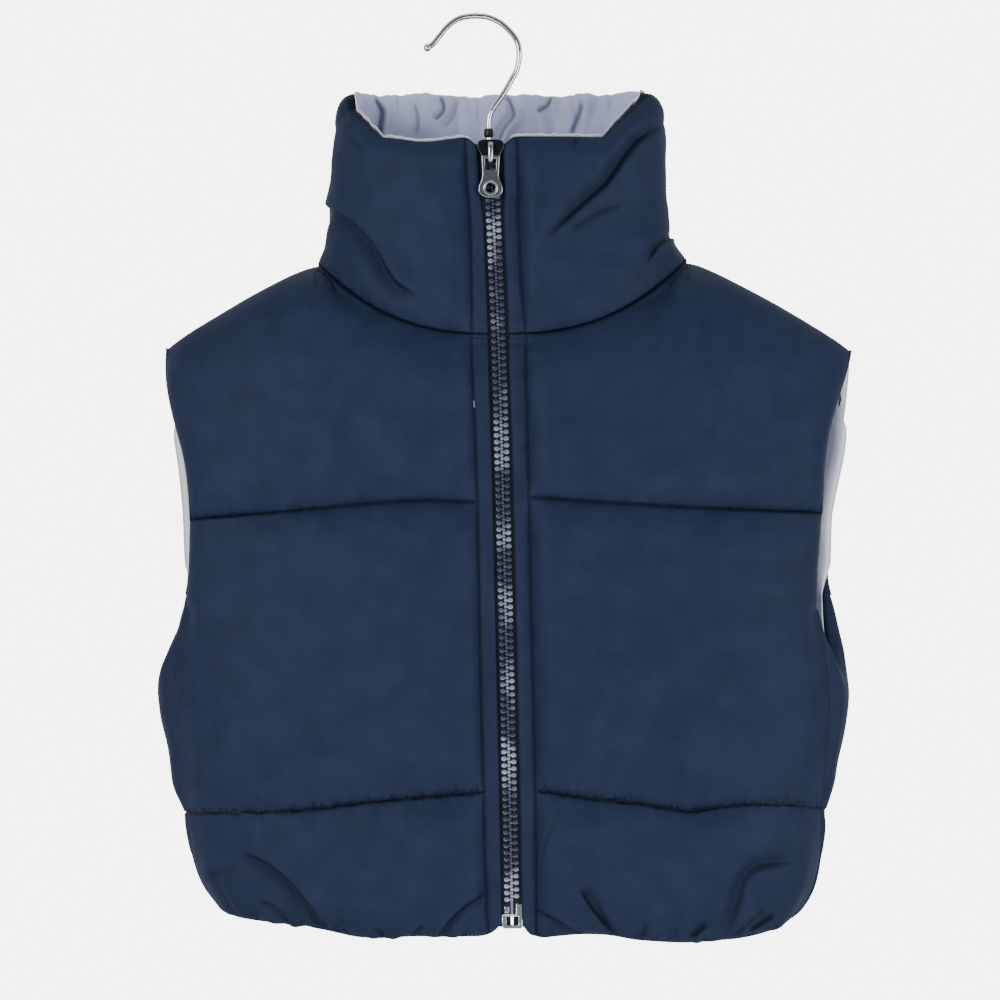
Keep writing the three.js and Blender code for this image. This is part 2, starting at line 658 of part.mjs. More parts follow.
// Slider: two plates round the chain, a post between them at the top, and an arch for the tab
const sliderTop = -74;
const slider = {
  length: 15, shoulderHalf: 8, mouthHalf: 5.6, plateWall: 1.3, chainTop: -80,
  archHalf: 1.4, archTop: -77, archFoot: -87, archWall: 1.2, archGap: 3.2,
};
const sliderX = zipX(sliderTop - slider.length / 2);
const sliderDepths = [zipDepth(sliderTop), zipDepth(sliderTop - slider.length)];
const plateFront = Math.min(...sliderDepths) - stripWall - 2 * seamGap - slider.plateWall;
const plateBehind = Math.max(...sliderDepths) + 2 * liningGap + (tapeWall + toothWall) / 2;
function sliderGeometry() {
  const { shoulderHalf, mouthHalf, length, plateWall } = slider;
  const foot = sliderTop - length;
  const halfOutline = [
    [mouthHalf - 1, foot],
    [mouthHalf, foot + 1.5],
    [mouthHalf, foot + 6],
    [shoulderHalf, sliderTop - 4.5],
    [shoulderHalf - 0.8, sliderTop - 0.8],
    [shoulderHalf - 2.5, sliderTop],
  ];
  const outline = [...halfOutline, ...halfOutline.map(([x, z]) => [-x, z]).reverse()];
  const middleY = (plateFront + plateBehind + plateWall) / 2;
  const post = box(0, middleY, sliderTop - 2.4, 4, plateBehind - plateFront, 4.4);
  const { archHalf, archTop, archFoot, archWall, archGap } = slider;
  const archMiddle = (archTop + archFoot) / 2;
  const reach = archGap + archWall;
  const archHeight = archTop - archFoot;
  const arch = cut(
    box(0, plateFront - reach / 2 + 0.3, archMiddle, archHalf * 2, reach + 0.6, archHeight),
    box(0, plateFront - archGap / 2, archMiddle, archHalf * 3, archGap, archHeight - 2 * archWall),
  );
  const plates = [plateFront, plateBehind].map((y) => plate(outline, y, plateWall));
  return joined(...plates, post, arch).translate(sliderX, 0, 0);
}

// Pull tab: a cross pin through the arch, two arms, a plate and a ring
const tab = {
  pinRadius: 0.7, pinZ: -84.4, wall: 1.8, armIn: 2.1, armOut: 5.6, windowFoot: -93,
  waistHalf: 5.2, waistZ: -96, ringZ: -104.5, ringRadius: 6.8, holeRadius: 3.1,
};
const pinDepth = plateFront - 1.7;
function pullTabGeometry() {
  const { armOut, armIn, pinZ, wall, windowFoot, waistHalf, waistZ, ringZ, ringRadius } = tab;
  const top = pinZ + wall / 2;
  const turns = 12;
  const ring = Array.from({ length: turns + 1 }, (_, k) => {
    const turn = (-0.85 + (k / turns) * 0.7) * Math.PI;
    return [ringRadius * Math.cos(turn), ringZ + ringRadius * Math.sin(turn)];
  });
  const outline = [
    [-armOut, top], [-armOut, windowFoot], [-waistHalf, waistZ], ...ring,
    [waistHalf, waistZ], [armOut, windowFoot], [armOut, top],
    [armIn, top], [armIn, windowFoot], [-armIn, windowFoot], [-armIn, top],
  ];
  const hole = new THREE.Path().absarc(0, ringZ, tab.holeRadius, 0, Math.PI * 2, true);
  const body = plate(outline, pinDepth - wall / 2, wall, [hole]);
  const pin = new THREE.CylinderGeometry(tab.pinRadius, tab.pinRadius, armOut * 2 - 1, 10);
  pin.rotateZ(Math.PI / 2).translate(0, pinDepth, pinZ);
  return joined(body, pin).translate(sliderX, 0, 0);
}

// Foot of the zip: the box on the wearer's left and the pin beside it
const zipFoot = { chainFoot: -529.5, boxTop: -537, boxFoot: -545.5, half: 6.2, pinTop: -530.5 };
function zipBoxGeometry() {
  const { boxTop, boxFoot, half, pinTop } = zipFoot;
  const outline = [
    [-half, boxTop], [-half, boxFoot + 1.2], [-half + 1.2, boxFoot], [half - 1.2, boxFoot],
    [half, boxFoot + 1.2], [half, pinTop], [1.6, pinTop], [1.6, boxTop],
  ];
  const y = zipDepth(boxTop) + liningGap + tapeWall / 2;
  return plate(outline, y - 1.9, 3.8).translate(zipX(boxTop), 0, 0);
}
function zipPinGeometry() {
  const { boxTop, pinTop } = zipFoot;
  const y = zipDepth(boxTop) + liningGap + tapeWall / 2;
  const [top, foot] = [pinTop, boxTop + seamGap];
  return box(zipX(boxTop) - 3.1, y, (top + foot) / 2, 2.7, 3, top - foot);
}

// A round section for wires
function ringShape(radius, sides) {
  return new THREE.Shape(
    Array.from({ length: sides }, (_, k) => {
      const turn = (k / sides) * Math.PI * 2;
      return new THREE.Vector2(radius * Math.cos(turn), radius * Math.sin(turn));
    }),
  );
}
// The hook: a straight end with a ball, most of a circle, and a bend back to the stem
function hookGeometry() {
  const centreZ = wireRadius - hookRadius;
  const arc = Array.from({ length: 9 }, (_, k) => {
    const turn = THREE.MathUtils.degToRad(128 - k * 17.75);
    return at(hookRadius * Math.cos(turn), 0, centreZ + hookRadius * Math.sin(turn));
  });
  const path = new THREE.CatmullRomCurve3([
    at(hookTip.x, 0, hookTip.z),
    at(-21.5, 0, -10.4),
    ...arc,
    at(22.6, 0, -38.6),
    at(16.4, 0, -48.2),
    at(11, 0, -55),
    at(stem.x, 0, stem.bendZ),
    at(stem.x, 0, -68),
    at(stem.x, 0, -80),
    at(stem.x, 0, stem.foot),
  ]);
  const wire = new THREE.ExtrudeGeometry(ringShape(wireRadius, 8), {
    steps: 46,
    bevelEnabled: false,
    extrudePath: path,
  });
  const ball = new THREE.SphereGeometry(hookTip.radius, 10, 8).translate(hookTip.x, 0, hookTip.z);
  return joined(wire, ball);
}
function sleeveGeometry() {
  const { top, foot, radius } = sleeve;
  const bore = wireRadius + 0.3;
  const profile = [[bore, foot], [radius, foot], [radius, top], [bore, top], [bore, foot]];
  const ring = new THREE.LatheGeometry(profile.map(([r, z]) => new THREE.Vector2(r, z)), 14);
  return ring.rotateX(Math.PI / 2).translate(stem.x, 0, 0);
}

// The hanger's arms: an oval bar just under the shoulder seams, humped at its middle
function armTop(side, share) {
  const { neckX, neckZ, tipX, tipZ } = shoulder[side];
  const reachShare = (armReach[side] - neckX) / (tipX - neckX);
  if (share >= 0.5) {
    const along = ((share - 0.5) / 0.5) * reachShare;
    const seam = shoulderPoint(side, along, -1);
    return at(seam.x, 0, seam.z - armGap);
  }
  const t = share / 0.5;
  const seam = shoulderPoint(side, 0, -1).z - armGap;
  const slope = ((tipZ - neckZ) / (tipX - neckX)) * (neckX - stem.x);
  const crown = armCentreZ + armSection.height;
  const hump = crown * (1 - t) ** 2 * (1 + 2 * t) + seam * t * t * (3 - 2 * t);
  return at(lerp(stem.x, neckX, t), 0, hump - slope * t * t * (1 - t));
}
function hangerGeometry() {
  const shares = [0, 0.12, 0.25, 0.38, 0.5, 0.62, 0.75, 0.87, 0.96, 0.99, 1];
  const tops = [
    ...shares.slice(1).reverse().map((share) => armTop(RIGHT, share)),
    ...shares.map((share) => armTop(LEFT, share)),
  ];
  const sides = 10;
  const rings = tops.map((top, i) => {
    const before = tops[Math.max(0, i - 1)];
    const after = tops[Math.min(tops.length - 1, i + 1)];
    const along = after.clone().sub(before).normalize();
    const up = at(-along.z, 0, along.x);
    const fromEnd = Math.min(i, tops.length - 1 - i);
    const taper = [0.45, 0.8, 1][Math.min(fromEnd, 2)];
    const centre = top.clone().addScaledVector(up, -armSection.height);
    return Array.from({ length: sides }, (_, k) => {
      const turn = (k / sides) * Math.PI * 2 + Math.PI / 2;
      return centre
        .clone()
        .addScaledVector(up, taper * armSection.height * Math.sin(turn))
        .add(at(0, taper * armSection.width * Math.cos(turn), 0));
    });
  });
  const positions = rings.flat().flatMap((p) => p.toArray());
  const faces = [];
  for (let i = 0; i < rings.length - 1; i++) {
    for (let k = 0; k < sides; k++) {
      const [a, b] = [i * sides + k, i * sides + ((k + 1) % sides)];
      faces.push(a, b, b + sides, a, b + sides, a + sides);
    }
  }
  for (let k = 1; k < sides - 1; k++) {
    const end = (rings.length - 1) * sides;
    faces.push(0, k + 1, k);
    faces.push(end, end + k, end + k + 1);
  }
  const bar = new THREE.BufferGeometry();
  bar.setAttribute("position", new THREE.Float32BufferAttribute(positions, 3));
  bar.setIndex(faces);
  const height = hangerNeck.top - armCentreZ;
  const neck = new THREE.CylinderGeometry(hangerNeck.radius * 0.75, hangerNeck.radius, height, 14);
  neck.rotateX(Math.PI / 2).translate(stem.x, 0, hangerNeck.top - height / 2);
  return joined(bar, neck);
}

// Assembly
const vest = new THREE.Group();
function addPiece(name, geometry, finish) {
  const mesh = new THREE.Mesh(geometry, finishes[finish]);
  mesh.name = name;
  vest.add(mesh);
}
for (const side of [RIGHT, LEFT]) {
  const name = sideName(side);
  const grid = fronts[side];
  addPiece(`${name}_front`, wallGeometry(grid, side === RIGHT), "shell");
  const columns = [1, 3, 5, 7, 9, 10, 12, 14, 16, 18];
  const rows = [0, 3, 5, 7, 9, 11, 13, 15, 17, 19, 20, 21, 22];
  const lining = liningGrid(grid, columns, rows);
  addPiece(`${name}_front_lining`, wallGeometry(lining, side === RIGHT), "lining");
  const tapeFoot = side === RIGHT ? zipFoot.boxTop + seamGap : zipFoot.pinTop + seamGap;
  const tapeTop = collarTop.front - collarTop.zipNotch - 0.5;
  const tape = [toothReach + seamGap, tapeEdge, liningGap, liningGap + tapeWall, tapeTop, tapeFoot];
  addPiece(`${name}_zip_tape`, zipBar(side, ...tape), "tape");
  const toothFront = liningGap + (tapeWall - toothWall) / 2;
  const reach = [seamGap / 2, toothReach, toothFront, toothFront + toothWall];
  const teeth = zipBar(side, ...reach, slider.chainTop, zipFoot.chainFoot);
  addPiece(`${name}_zip_teeth`, teeth, "teeth");
}

const backWall = backGrid();
addPiece("back", wallGeometry(backWall, true), "shell");
const armRow = backRows.findIndex((row) => row.from === "armhole");
const backLiningColumns = backColumns.map((_, i) => i).filter((i) => i % 2 === 0);
const backLiningRows = [0, 3, 5, 7, 9, armRow, ...[2, 4, 6, 8, 9, 10, 11].map((k) => armRow + k)];
const backLining = liningGrid(backWall, backLiningColumns, backLiningRows);
addPiece("back_lining", wallGeometry(backLining, true), "lining");

addPiece("collar", wallGeometry(collarWall, true), "shell");
const collarLiningColumns = collarWall.map((_, i) => i).slice(1, -1);
const collarLining = liningGrid(collarWall, collarLiningColumns, [1, 2, 3, 4, 6, 8, 10]);
addPiece("collar_lining", wallGeometry(collarLining, true), "lining");

addPiece("zip_slider", sliderGeometry(), "hardware");
addPiece("zip_pull_tab", pullTabGeometry(), "hardware");
addPiece("zip_box", zipBoxGeometry(), "zipEnd");
addPiece("zip_pin", zipPinGeometry(), "zipEnd");
addPiece("hanger_hook", hookGeometry(), "chrome");
addPiece("hanger_sleeve", sleeveGeometry(), "hanger");
addPiece("hanger_body", hangerGeometry(), "hanger");

export default vest;
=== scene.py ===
import math

import bpy
import numpy as np
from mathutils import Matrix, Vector


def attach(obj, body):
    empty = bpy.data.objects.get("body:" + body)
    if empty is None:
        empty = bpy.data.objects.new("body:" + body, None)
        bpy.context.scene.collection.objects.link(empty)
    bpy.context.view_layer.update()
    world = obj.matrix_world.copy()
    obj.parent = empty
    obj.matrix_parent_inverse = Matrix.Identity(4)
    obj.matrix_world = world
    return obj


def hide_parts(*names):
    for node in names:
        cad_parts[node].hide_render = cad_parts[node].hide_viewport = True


# A cropped puffer vest on a wire-hook hanger. The formulas work in millimetres; x runs to the
# viewer's right, y away from the viewer and z up, from the underside of the hook's top.

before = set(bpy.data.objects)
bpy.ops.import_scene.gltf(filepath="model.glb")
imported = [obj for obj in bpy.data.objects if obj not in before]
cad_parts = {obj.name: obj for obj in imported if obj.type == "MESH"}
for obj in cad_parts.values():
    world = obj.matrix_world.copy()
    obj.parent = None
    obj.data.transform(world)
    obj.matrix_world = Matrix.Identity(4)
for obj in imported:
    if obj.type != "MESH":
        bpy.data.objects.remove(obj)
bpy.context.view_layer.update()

rightSide = -1  # the wearer's right, at the viewer's left
leftSide = 1
metre = 0.001

cloth = {
    "seamWall": 2.0,  # thickness where a seam pinches the filling
    "padWall": 10.5,  # thickness in the middle of a channel
    "edgeWall": 3.4,  # along the armholes
    "stripWall": 2.2,  # the flat strip beside the zip
    "stripRound": 1.1,  # how far the strip rounds up between its fold and its stitches
    "leastWall": 0.9,
    "neckWall": 2.0,  # where the panels and the collar meet, at the middle
    "neckSwell": 1.0,  # what the wall gains there towards the neck point
    "seamReach": 24.0,  # how far from a seam the filling reaches its full height
    "edgeReach": 13.0,  # the same from a free edge
    "stitchReach": 15.0,  # and from the strip's stitches
    "ovalPower": 2.3,  # 2 is an ellipse, more is squarer
    "shoulderReach": 80.0,  # the panels round over this far below the shoulder line
    "seamGap": 0.35,
    "liningWall": 0.6,
}
zipper = {
    "foldEdge": 6.2,  # from the zip's middle to the folded edge of the strip
    "foldAtSlider": 7.5,
    "tapeStart": 0.7,
    "tapeEdge": 14.2,
    "tapeWall": 0.7,
    "tapeFoot": -542.6,
    "tapeBehind": 0.35,  # how far the tape lies behind the strip
    "toothBehind": 0.75,  # and the teeth's middle
    "toothPitch": 4.0,
    "chainTop": -86.0,
    "chainFoot": -527.6,
}
landmark = {
    "neckLow": -190.0,
    "backNeck": -151.0,
    "neckFront": 40.0,
    "neckBack": 38.0,
    "seamTop": -353.0,
    "armBackEdge": -346.0,
    "armLowest": -386.0,
    "hem": -549.5,
}
shoulder = {
    rightSide: {"neckX": -92.0, "neckZ": -148.5, "tipX": -183.5, "tipZ": -199.8},
    leftSide: {"neckX": 125.0, "neckZ": -146.5, "tipX": 224.0, "tipZ": -201.0},
}
shoulderCrown = 2.4  # rise of the shoulder line in its middle

# Inner surface of the body: z, x of its right and left sides, depth of its front and back
bodyTable = np.array([
    (-553, -136, 180, 38, 39),
    (-535, -149.5, 190.5, 44, 45),
    (-510, -161.5, 199, 49, 50),
    (-490, -166.5, 202, 51, 52),
    (-470, -169.8, 204.4, 52, 54),
    (-440, -174.2, 208.4, 54, 56),
    (-415, -179, 212.4, 54, 56),
    (-392, -181, 212.4, 54, 56),
    (-366, -178.4, 210, 53, 56),
    (-330, -177.5, 210.6, 52, 55),
    (-260, -181, 219, 49, 52),
    (-205, -187, 228, 45, 47),
    (-140, -188, 229, 42, 42),
], float)
bodyColumn = {rightSide: 1, leftSide: 2, "front": 3, "back": 4}
# Armhole edges: z, front right, front left, back right, back left
armTable = np.array([
    (-353, -170, 202.2, -170, 208.6),
    (-330, -169.0, 202.6, -170.8, 209.2),
    (-296, -168.6, 205.4, -172.2, 211),
    (-262, -171.8, 207.2, -175.2, 217.0),
    (-240, -176.8, 208.8, -179.2, 219.6),
    (-216, -182, 213.4, -183, 223),
    (-206, -183.2, 216.6, -183.3, 224),
    (-200, -183.5, 223, -183.5, 224.5),
], float)
armColumn = {("front", rightSide): 1, ("front", leftSide): 2,
             ("back", rightSide): 3, ("back", leftSide): 4}
# The zip's middle: z and x
zipTable = np.array([
    (-560, 22.6), (-546, 22.4), (-341, 18), (-191, 14), (-72, 9), (-40, 8),
], float)
# Inner surface of the collar: share of the rise from the neck seam to the top, x right and left,
# depth of its front and back
collarTable = np.array([
    (0, -92, 125, 40, 38),
    (0.1, -84.5, 113.5, 40, 38),
    (0.3, -78, 106, 39, 37),
    (0.65, -74.5, 103, 38, 36),
    (1, -73, 102.5, 36, 35),
], float)


# Smooth curve through a table's rows: cubic pieces that share their slopes
def read(table, place, column):
    place = np.asarray(place, float)
    key, value = table[:, 0], table[:, column]
    slope = np.empty(len(key))
    slope[1:-1] = (value[2:] - value[:-2]) / (key[2:] - key[:-2])
    slope[0] = (value[1] - value[0]) / (key[1] - key[0])
    slope[-1] = (value[-1] - value[-2]) / (key[-1] - key[-2])
    i = np.clip(np.searchsorted(key, place) - 1, 0, len(key) - 2)
    span = key[i + 1] - key[i]
    t = np.clip((place - key[i]) / span, 0, 1)
    rise = t * t * (3 - 2 * t)
    bend = span * (slope[i] * t * (1 - t) ** 2 - slope[i + 1] * t * t * (1 - t))
    return value[i] + (value[i + 1] - value[i]) * rise + bend


# Straight line from a at t = 0 to b at t = 1
def mix(a, b, t):
    return a + (b - a) * t


# Height of a superellipse over its half axis
def oval(share):
    power = cloth["ovalPower"]
    return np.maximum(0, 1 - np.clip(share, 0, 1) ** power) ** (1 / power)


# 0 up to t = 0, 1 from t = 1, level at both ends
def smooth(t):
    t = np.clip(t, 0, 1)
    return t * t * (3 - 2 * t)


# Gaussian of a distance: 1 at 0, and 0.37 at the width
def bell(distance, width):
    return np.exp(-(distance / width) ** 2)


# Filling's height at a distance from a seam: a quarter of a soft round
def fillRise(distance, reach, roundness=0.62):
    left = 1 - np.clip(distance / reach, 0, 1)
    return (1 - left ** 2) ** roundness


# The zip's middle line, which leans a little
def zipX(z):
    return read(zipTable, z, 1)


# Body's half width, from the zip's middle to one side
def halfWidth(side, z):
    return side * (read(bodyTable, z, bodyColumn[side]) - zipX(z))


# Armhole edge of the front or the back
def armEdgeX(panel, side, z):
    return read(armTable, z, armColumn[(panel, side)])


# Outer edge of a front: the armhole's edge above the side seam's top, and the side seam, which
# follows the body's half width, below it
def frontEdgeX(side, z):
    top = landmark["seamTop"]
    below = zipX(z) + side * halfWidth(side, z) * seamShareAt(z)
    atTop = zipX(top) + side * halfWidth(side, top) * seamShareAt(top)
    join = np.clip((top - z) / 30, 0, 1)
    under = mix(armEdgeX("front", side, top) + below - atTop, below, join)
    return np.where(z > top, armEdgeX("front", side, np.maximum(z, top)), under)


# Point of the neck edge, facing forwards (-1) or back (1): an oval in plan that climbs from its
# lowest point at the middle to the shoulder's neck point as a power of the share across
def neckPoint(side, share, facing):
    corner = shoulder[side]
    middle = zipX(landmark["neckLow"])
    width = side * (corner["neckX"] - middle)
    depth = landmark["neckFront"] if facing < 0 else landmark["neckBack"]
    low = landmark["neckLow"] if facing < 0 else landmark["backNeck"]
    power = 2.6 if facing < 0 else 2.0
    z = mix(low, corner["neckZ"], np.abs(share) ** power)
    y = facing * (depth * oval(share) + cloth["seamGap"] / 2)
    return middle + side * width * share, y, z


# Point of the shoulder seam: a straight slope with a parabola on top
def shoulderPoint(side, share, facing):
    corner = shoulder[side]
    crown = shoulderCrown * 4 * share * (1 - share)
    x = mix(corner["neckX"], corner["tipX"], share)
    y = np.full_like(x, facing * cloth["seamGap"] / 2)
    return x, y, mix(corner["neckZ"], corner["tipZ"], share) + crown


# Direction in which the walls of the collar and the panels meet at the neck seam: forwards or back
# at the middle, and more sideways and upwards towards the neck point
def neckOut(side, share, facing):
    corner = share ** 6
    out = np.stack([side * share * share, facing * (1.02 - corner), 0.35 + 0.75 * corner], -1)
    return out / np.linalg.norm(out, axis=-1, keepdims=True)


# Wall at the neck seam, thicker towards the neck point as the sixth power of the share across
def neckWallAt(share):
    return cloth["neckWall"] + cloth["neckSwell"] * share ** 6


# Share of the body's full depth at a drop below the shoulder line
def roundOver(drop):
    left = 1 - np.clip(drop / cloth["shoulderReach"], 0, 1)
    return (1 - left ** 2.2) ** (1 / 2.2)


# The hem's channel is this share thinner at the sides
hemSideThin = {rightSide: 0.5, leftSide: 0.25}
# Hem of the fronts' inner surface: share across, height right and left
hemTable = np.array([
    (0, -540.5, -541.0),
    (0.03, -545.5, -546.5),
    (0.07, -548.0, -549.0),
    (0.13, -548.5, -548.3),
    (0.22, -548.7, -547.2),
    (0.32, -548.5, -547.8),
    (0.42, -549.6, -550.6),
    (0.52, -549.0, -552.0),
    (0.61, -546.0, -552.6),
    (0.71, -542.6, -551.6),
    (0.81, -541.2, -550.4),
    (0.9, -539.6, -547.6),
    (0.96, -538.0, -544.0),
    (1, -535.5, -539.5),
], float)


# Height of a front's hem at a share across
def hemLine(side, share):
    return read(hemTable, share, 1 if side < 0 else 2)


# The back's hem follows the front's, a little higher
def backHemLine(side, across):
    return hemLine(side, across) + 1.4


# Quilting lines of the fronts: share across, then right lower, left lower, right upper, left upper
quiltTable = np.array([
    (0, -461.6, -460.0, -290.6, -286.4),
    (0.12, -463.0, -462.4, -289.6, -287.8),
    (0.22, -464.6, -465.4, -288.8, -289.2),
    (0.4, -467.4, -468.8, -290.6, -291.2),
    (0.575, -471.6, -473.6, -293.6, -293.0),
    (0.66, -473.3, -471.4, -295.2, -293.8),
    (0.75, -474.2, -469.8, -296.8, -294.6),
    (0.88, -474.8, -470.0, -298.8, -295.6),
    (1, -475.2, -473.0, -300.6, -296.4),
], float)


# Height of a front's upper or lower quilting line at a share across
def quiltLine(side, share, upper):
    return read(quiltTable, share, (1 if side < 0 else 2) + (2 if upper else 0))


# The back's quilting lines end at the side seams where the fronts' do: the upper one is straight,
# the lower one a power of a sine
def backQuiltLine(side, share, upper):
    end = quiltTable[-1][(1 if side < 0 else 2) + (2 if upper else 0)]
    if upper:
        return mix(-289.5, end, share)
    return mix(-461.7, end, np.sin(share * math.pi / 2) ** 1.2)


# The side seam, as a share of the half width, moves round to the side towards the hem
def seamShareAt(z):
    return np.interp(z, [-500, -485, -460, -408, -353], [1.0, 0.995, 0.982, 0.966, 0.95])


# How much of the hem's thinning holds at a height: it sets in across the lower quilting line
def thinningAt(z, line):
    return smooth((line + 20 - z) / 30)


# The fronts and the back meet in the side seam with the same wall and the same direction
def seamWallAt(side, z):
    line = quiltLine(side, 1.0, False)
    rise = 1 - 0.2 * (1 - fillRise(np.abs(z - line), cloth["seamReach"]))
    rise = rise * fillRise(np.maximum(z - hemLine(side, 1.0), 0), cloth["seamReach"])
    rise = rise * fillRise(np.maximum(landmark["seamTop"] - z, 0), 26)
    rise = rise * (1 - hemSideThin[side] * thinningAt(z, line))
    return cloth["seamWall"] + (cloth["padWall"] - cloth["seamWall"]) * 0.62 * rise


# Outward direction of the body's oval at the side seam
def seamNormalAt(side, z):
    half, power = halfWidth(side, z), cloth["ovalPower"]
    depth = read(bodyTable, z, bodyColumn["front"])
    share = np.clip(side * (frontEdgeX(side, z) - zipX(z)) / half, 0, 1)
    across = side * share ** (power - 1) / half
    forward = -oval(share) ** (power - 1) / depth
    slope = (frontEdgeX(side, z + 3) - frontEdgeX(side, z - 3)) / 6
    out = np.stack([across, forward, -slope * across], -1)
    return out / np.linalg.norm(out, axis=-1, keepdims=True)


# Directions mixed and brought back to unit length
def blended(normal, other, share):
    out = mix(normal, other, share[..., None])
    return out / np.linalg.norm(out, axis=-1, keepdims=True)


# Unit normals of a grid of points, by central differences
def gridNormals(points, turn):
    along = np.gradient(points, axis=0)
    up = np.gradient(points, axis=1)
    normal = np.cross(along, up) * turn
    return normal / np.maximum(np.linalg.norm(normal, axis=-1, keepdims=True), 1e-9)


# Places from 0 to 1, closer together at both ends
def crowded(count, strength=0.75):
    t = np.linspace(0, 1, count)
    return mix(t, 0.5 - 0.5 * np.cos(math.pi * t), strength)


# Smooth uneven field over a plane: sums of sine waves in random directions
def waves(x, z, seed, size, count=7):
    rng = np.random.default_rng(seed)
    total = np.zeros_like(x)
    for _ in range(count):
        angle = rng.uniform(0, math.pi)
        length = size * rng.uniform(0.7, 1.6)
        phase = rng.uniform(0, 2 * math.pi)
        total += np.sin(2 * math.pi * (x * math.cos(angle) + z * math.sin(angle)) / length + phase)
    return total / math.sqrt(count)


# Puckers along a seam: short troughs and folds that cross it, uneven in place, size and slant
def puckers(along, away, seed, length, spacing, depth, reach, slant=0.35):
    rng = np.random.default_rng(seed)
    total = np.zeros_like(along)
    place = rng.uniform(0, spacing)
    while place < length:
        width = rng.uniform(1.6, 4.2)
        high = depth * rng.uniform(0.35, 1.25)
        far = reach * rng.uniform(0.4, 1.3)
        lean = rng.uniform(-slant, slant)
        offset = (along - place - lean * away) / width
        fade = bell(away, far)
        total -= high * fade * (bell(offset, 1) - 0.35 * bell(offset - 1.9, 1.3))
        place += spacing * rng.uniform(0.45, 1.6)
    return total


# Smooth curve through points, in count places at even steps along them
def curveThrough(points, count):
    points = np.asarray(points, float)
    step = np.concatenate([[0], np.cumsum(np.linalg.norm(np.diff(points, axis=0), axis=1))])
    table = np.column_stack([step, points])
    place = np.linspace(0, step[-1], count)
    return np.stack([read(table, place, n + 1) for n in range(points.shape[1])], -1)


# A crease along a line (x, z): a hollow on one side that steps up to a bank on the other, both
# gaussians of the distance from the line, joined by a tanh step and faded out at the line's ends.
# bankSide is +1 where the bank lies to the left of the line's direction. shade gets the crease's
# painted shade: a dark line and a darker hollow.
def crease(x, z, shade, points, bankSide, depth, hollow, bank, bankWidth, sharp=0.7, tail=0.25):
    count = 90
    line = curveThrough(points, count)
    t = np.linspace(0, 1, count)
    way = np.gradient(line, axis=0)
    way /= np.linalg.norm(way, axis=1, keepdims=True)
    margin = 3 * max(hollow, bankWidth)
    low, high = line.min(0) - margin, line.max(0) + margin
    close = (x > low[0]) & (x < high[0]) & (z > low[1]) & (z < high[1])
    flat = np.stack([x[close], z[close]], -1)
    total = np.zeros_like(x)
    if not len(flat):
        return total
    near = ((flat[:, None, :] - line[None, :, :]) ** 2).sum(-1)
    best = near.argmin(1)
    gap = flat - line[best]
    signed = (way[best, 0] * gap[:, 1] - way[best, 1] * gap[:, 0]) * bankSide
    past = np.sqrt(np.maximum(near[np.arange(len(best)), best] - signed ** 2, 0))
    place = t[best]
    fade = smooth(place / tail) * smooth((1 - place) / tail) * bell(past, 2.5)
    step = 0.5 + 0.5 * np.tanh(signed / sharp)
    profile = step * bank * bell(signed, bankWidth)
    profile -= (1 - step) * depth * bell(signed, hollow)
    total[close] = profile * fade
    # painted shade: a dark line along the crease, and a broader darkening over its hollow
    paintedShadeLine = bell(signed + 0.35 * sharp, 0.7 + 0.6 * sharp) * min(1, depth / 1.7)
    wide = (1 - step) * bell(signed, 0.7 * hollow) * min(0.42, depth * 0.13)
    shade[close] = np.maximum(shade[close], np.maximum(paintedShadeLine * 0.9 / max(1, sharp), wide) * fade)
    return total


# Distance along a grid's lowest row, for all of its points, and the row's length
def runAlong(points):
    steps = np.linalg.norm(np.gradient(points[:, 0], axis=0), axis=-1)
    along = np.cumsum(steps)[:, None] + 0 * points[..., 2]
    return along, float(along[-1, 0])


# Smooths a grid's values across the columns near one x, as a gaussian mean, where weight is above 0
def softened(values, x, centre, radius, window, weight):
    total = np.empty_like(values)
    spacing = np.abs(np.gradient(x, axis=0))
    for row in range(x.shape[1]):
        gaps = (x[:, row][:, None] - x[:, row][None, :]) / radius
        kernel = np.exp(-gaps ** 2) * spacing[:, row][None, :]
        total[:, row] = kernel @ values[:, row] / kernel.sum(1)
    share = weight * np.exp(-((x - centre) / window) ** 4)
    return mix(values, total, share)


materials = {}


# A mesh object from points in millimetres; marks are values at its points, by name
def addMesh(name, points, faces, material, uv=None, smoothShade=True, marks=None):
    mesh = bpy.data.meshes.new(name)
    points = np.asarray(points, float).reshape(-1, 3) * metre
    faces = np.asarray(faces, int)
    mesh.from_pydata(points, [], faces)
    mesh.polygons.foreach_set("use_smooth", np.full(len(faces), smoothShade))
    mesh.update()
    if uv is not None:
        layer = mesh.uv_layers.new(name="clothMap")
        flat = np.asarray(uv, np.float32).reshape(-1, 2)
        layer.data.foreach_set("uv", flat[faces.ravel()].ravel())
    for mark, values in (marks or {}).items():
        attribute = mesh.attributes.new(mark, "FLOAT", "POINT")
        attribute.data.foreach_set("value", values.astype(np.float32))
    obj = bpy.data.objects.new(name, mesh)
    bpy.context.scene.collection.objects.link(obj)
    mesh.materials.append(materials[material])
    return obj


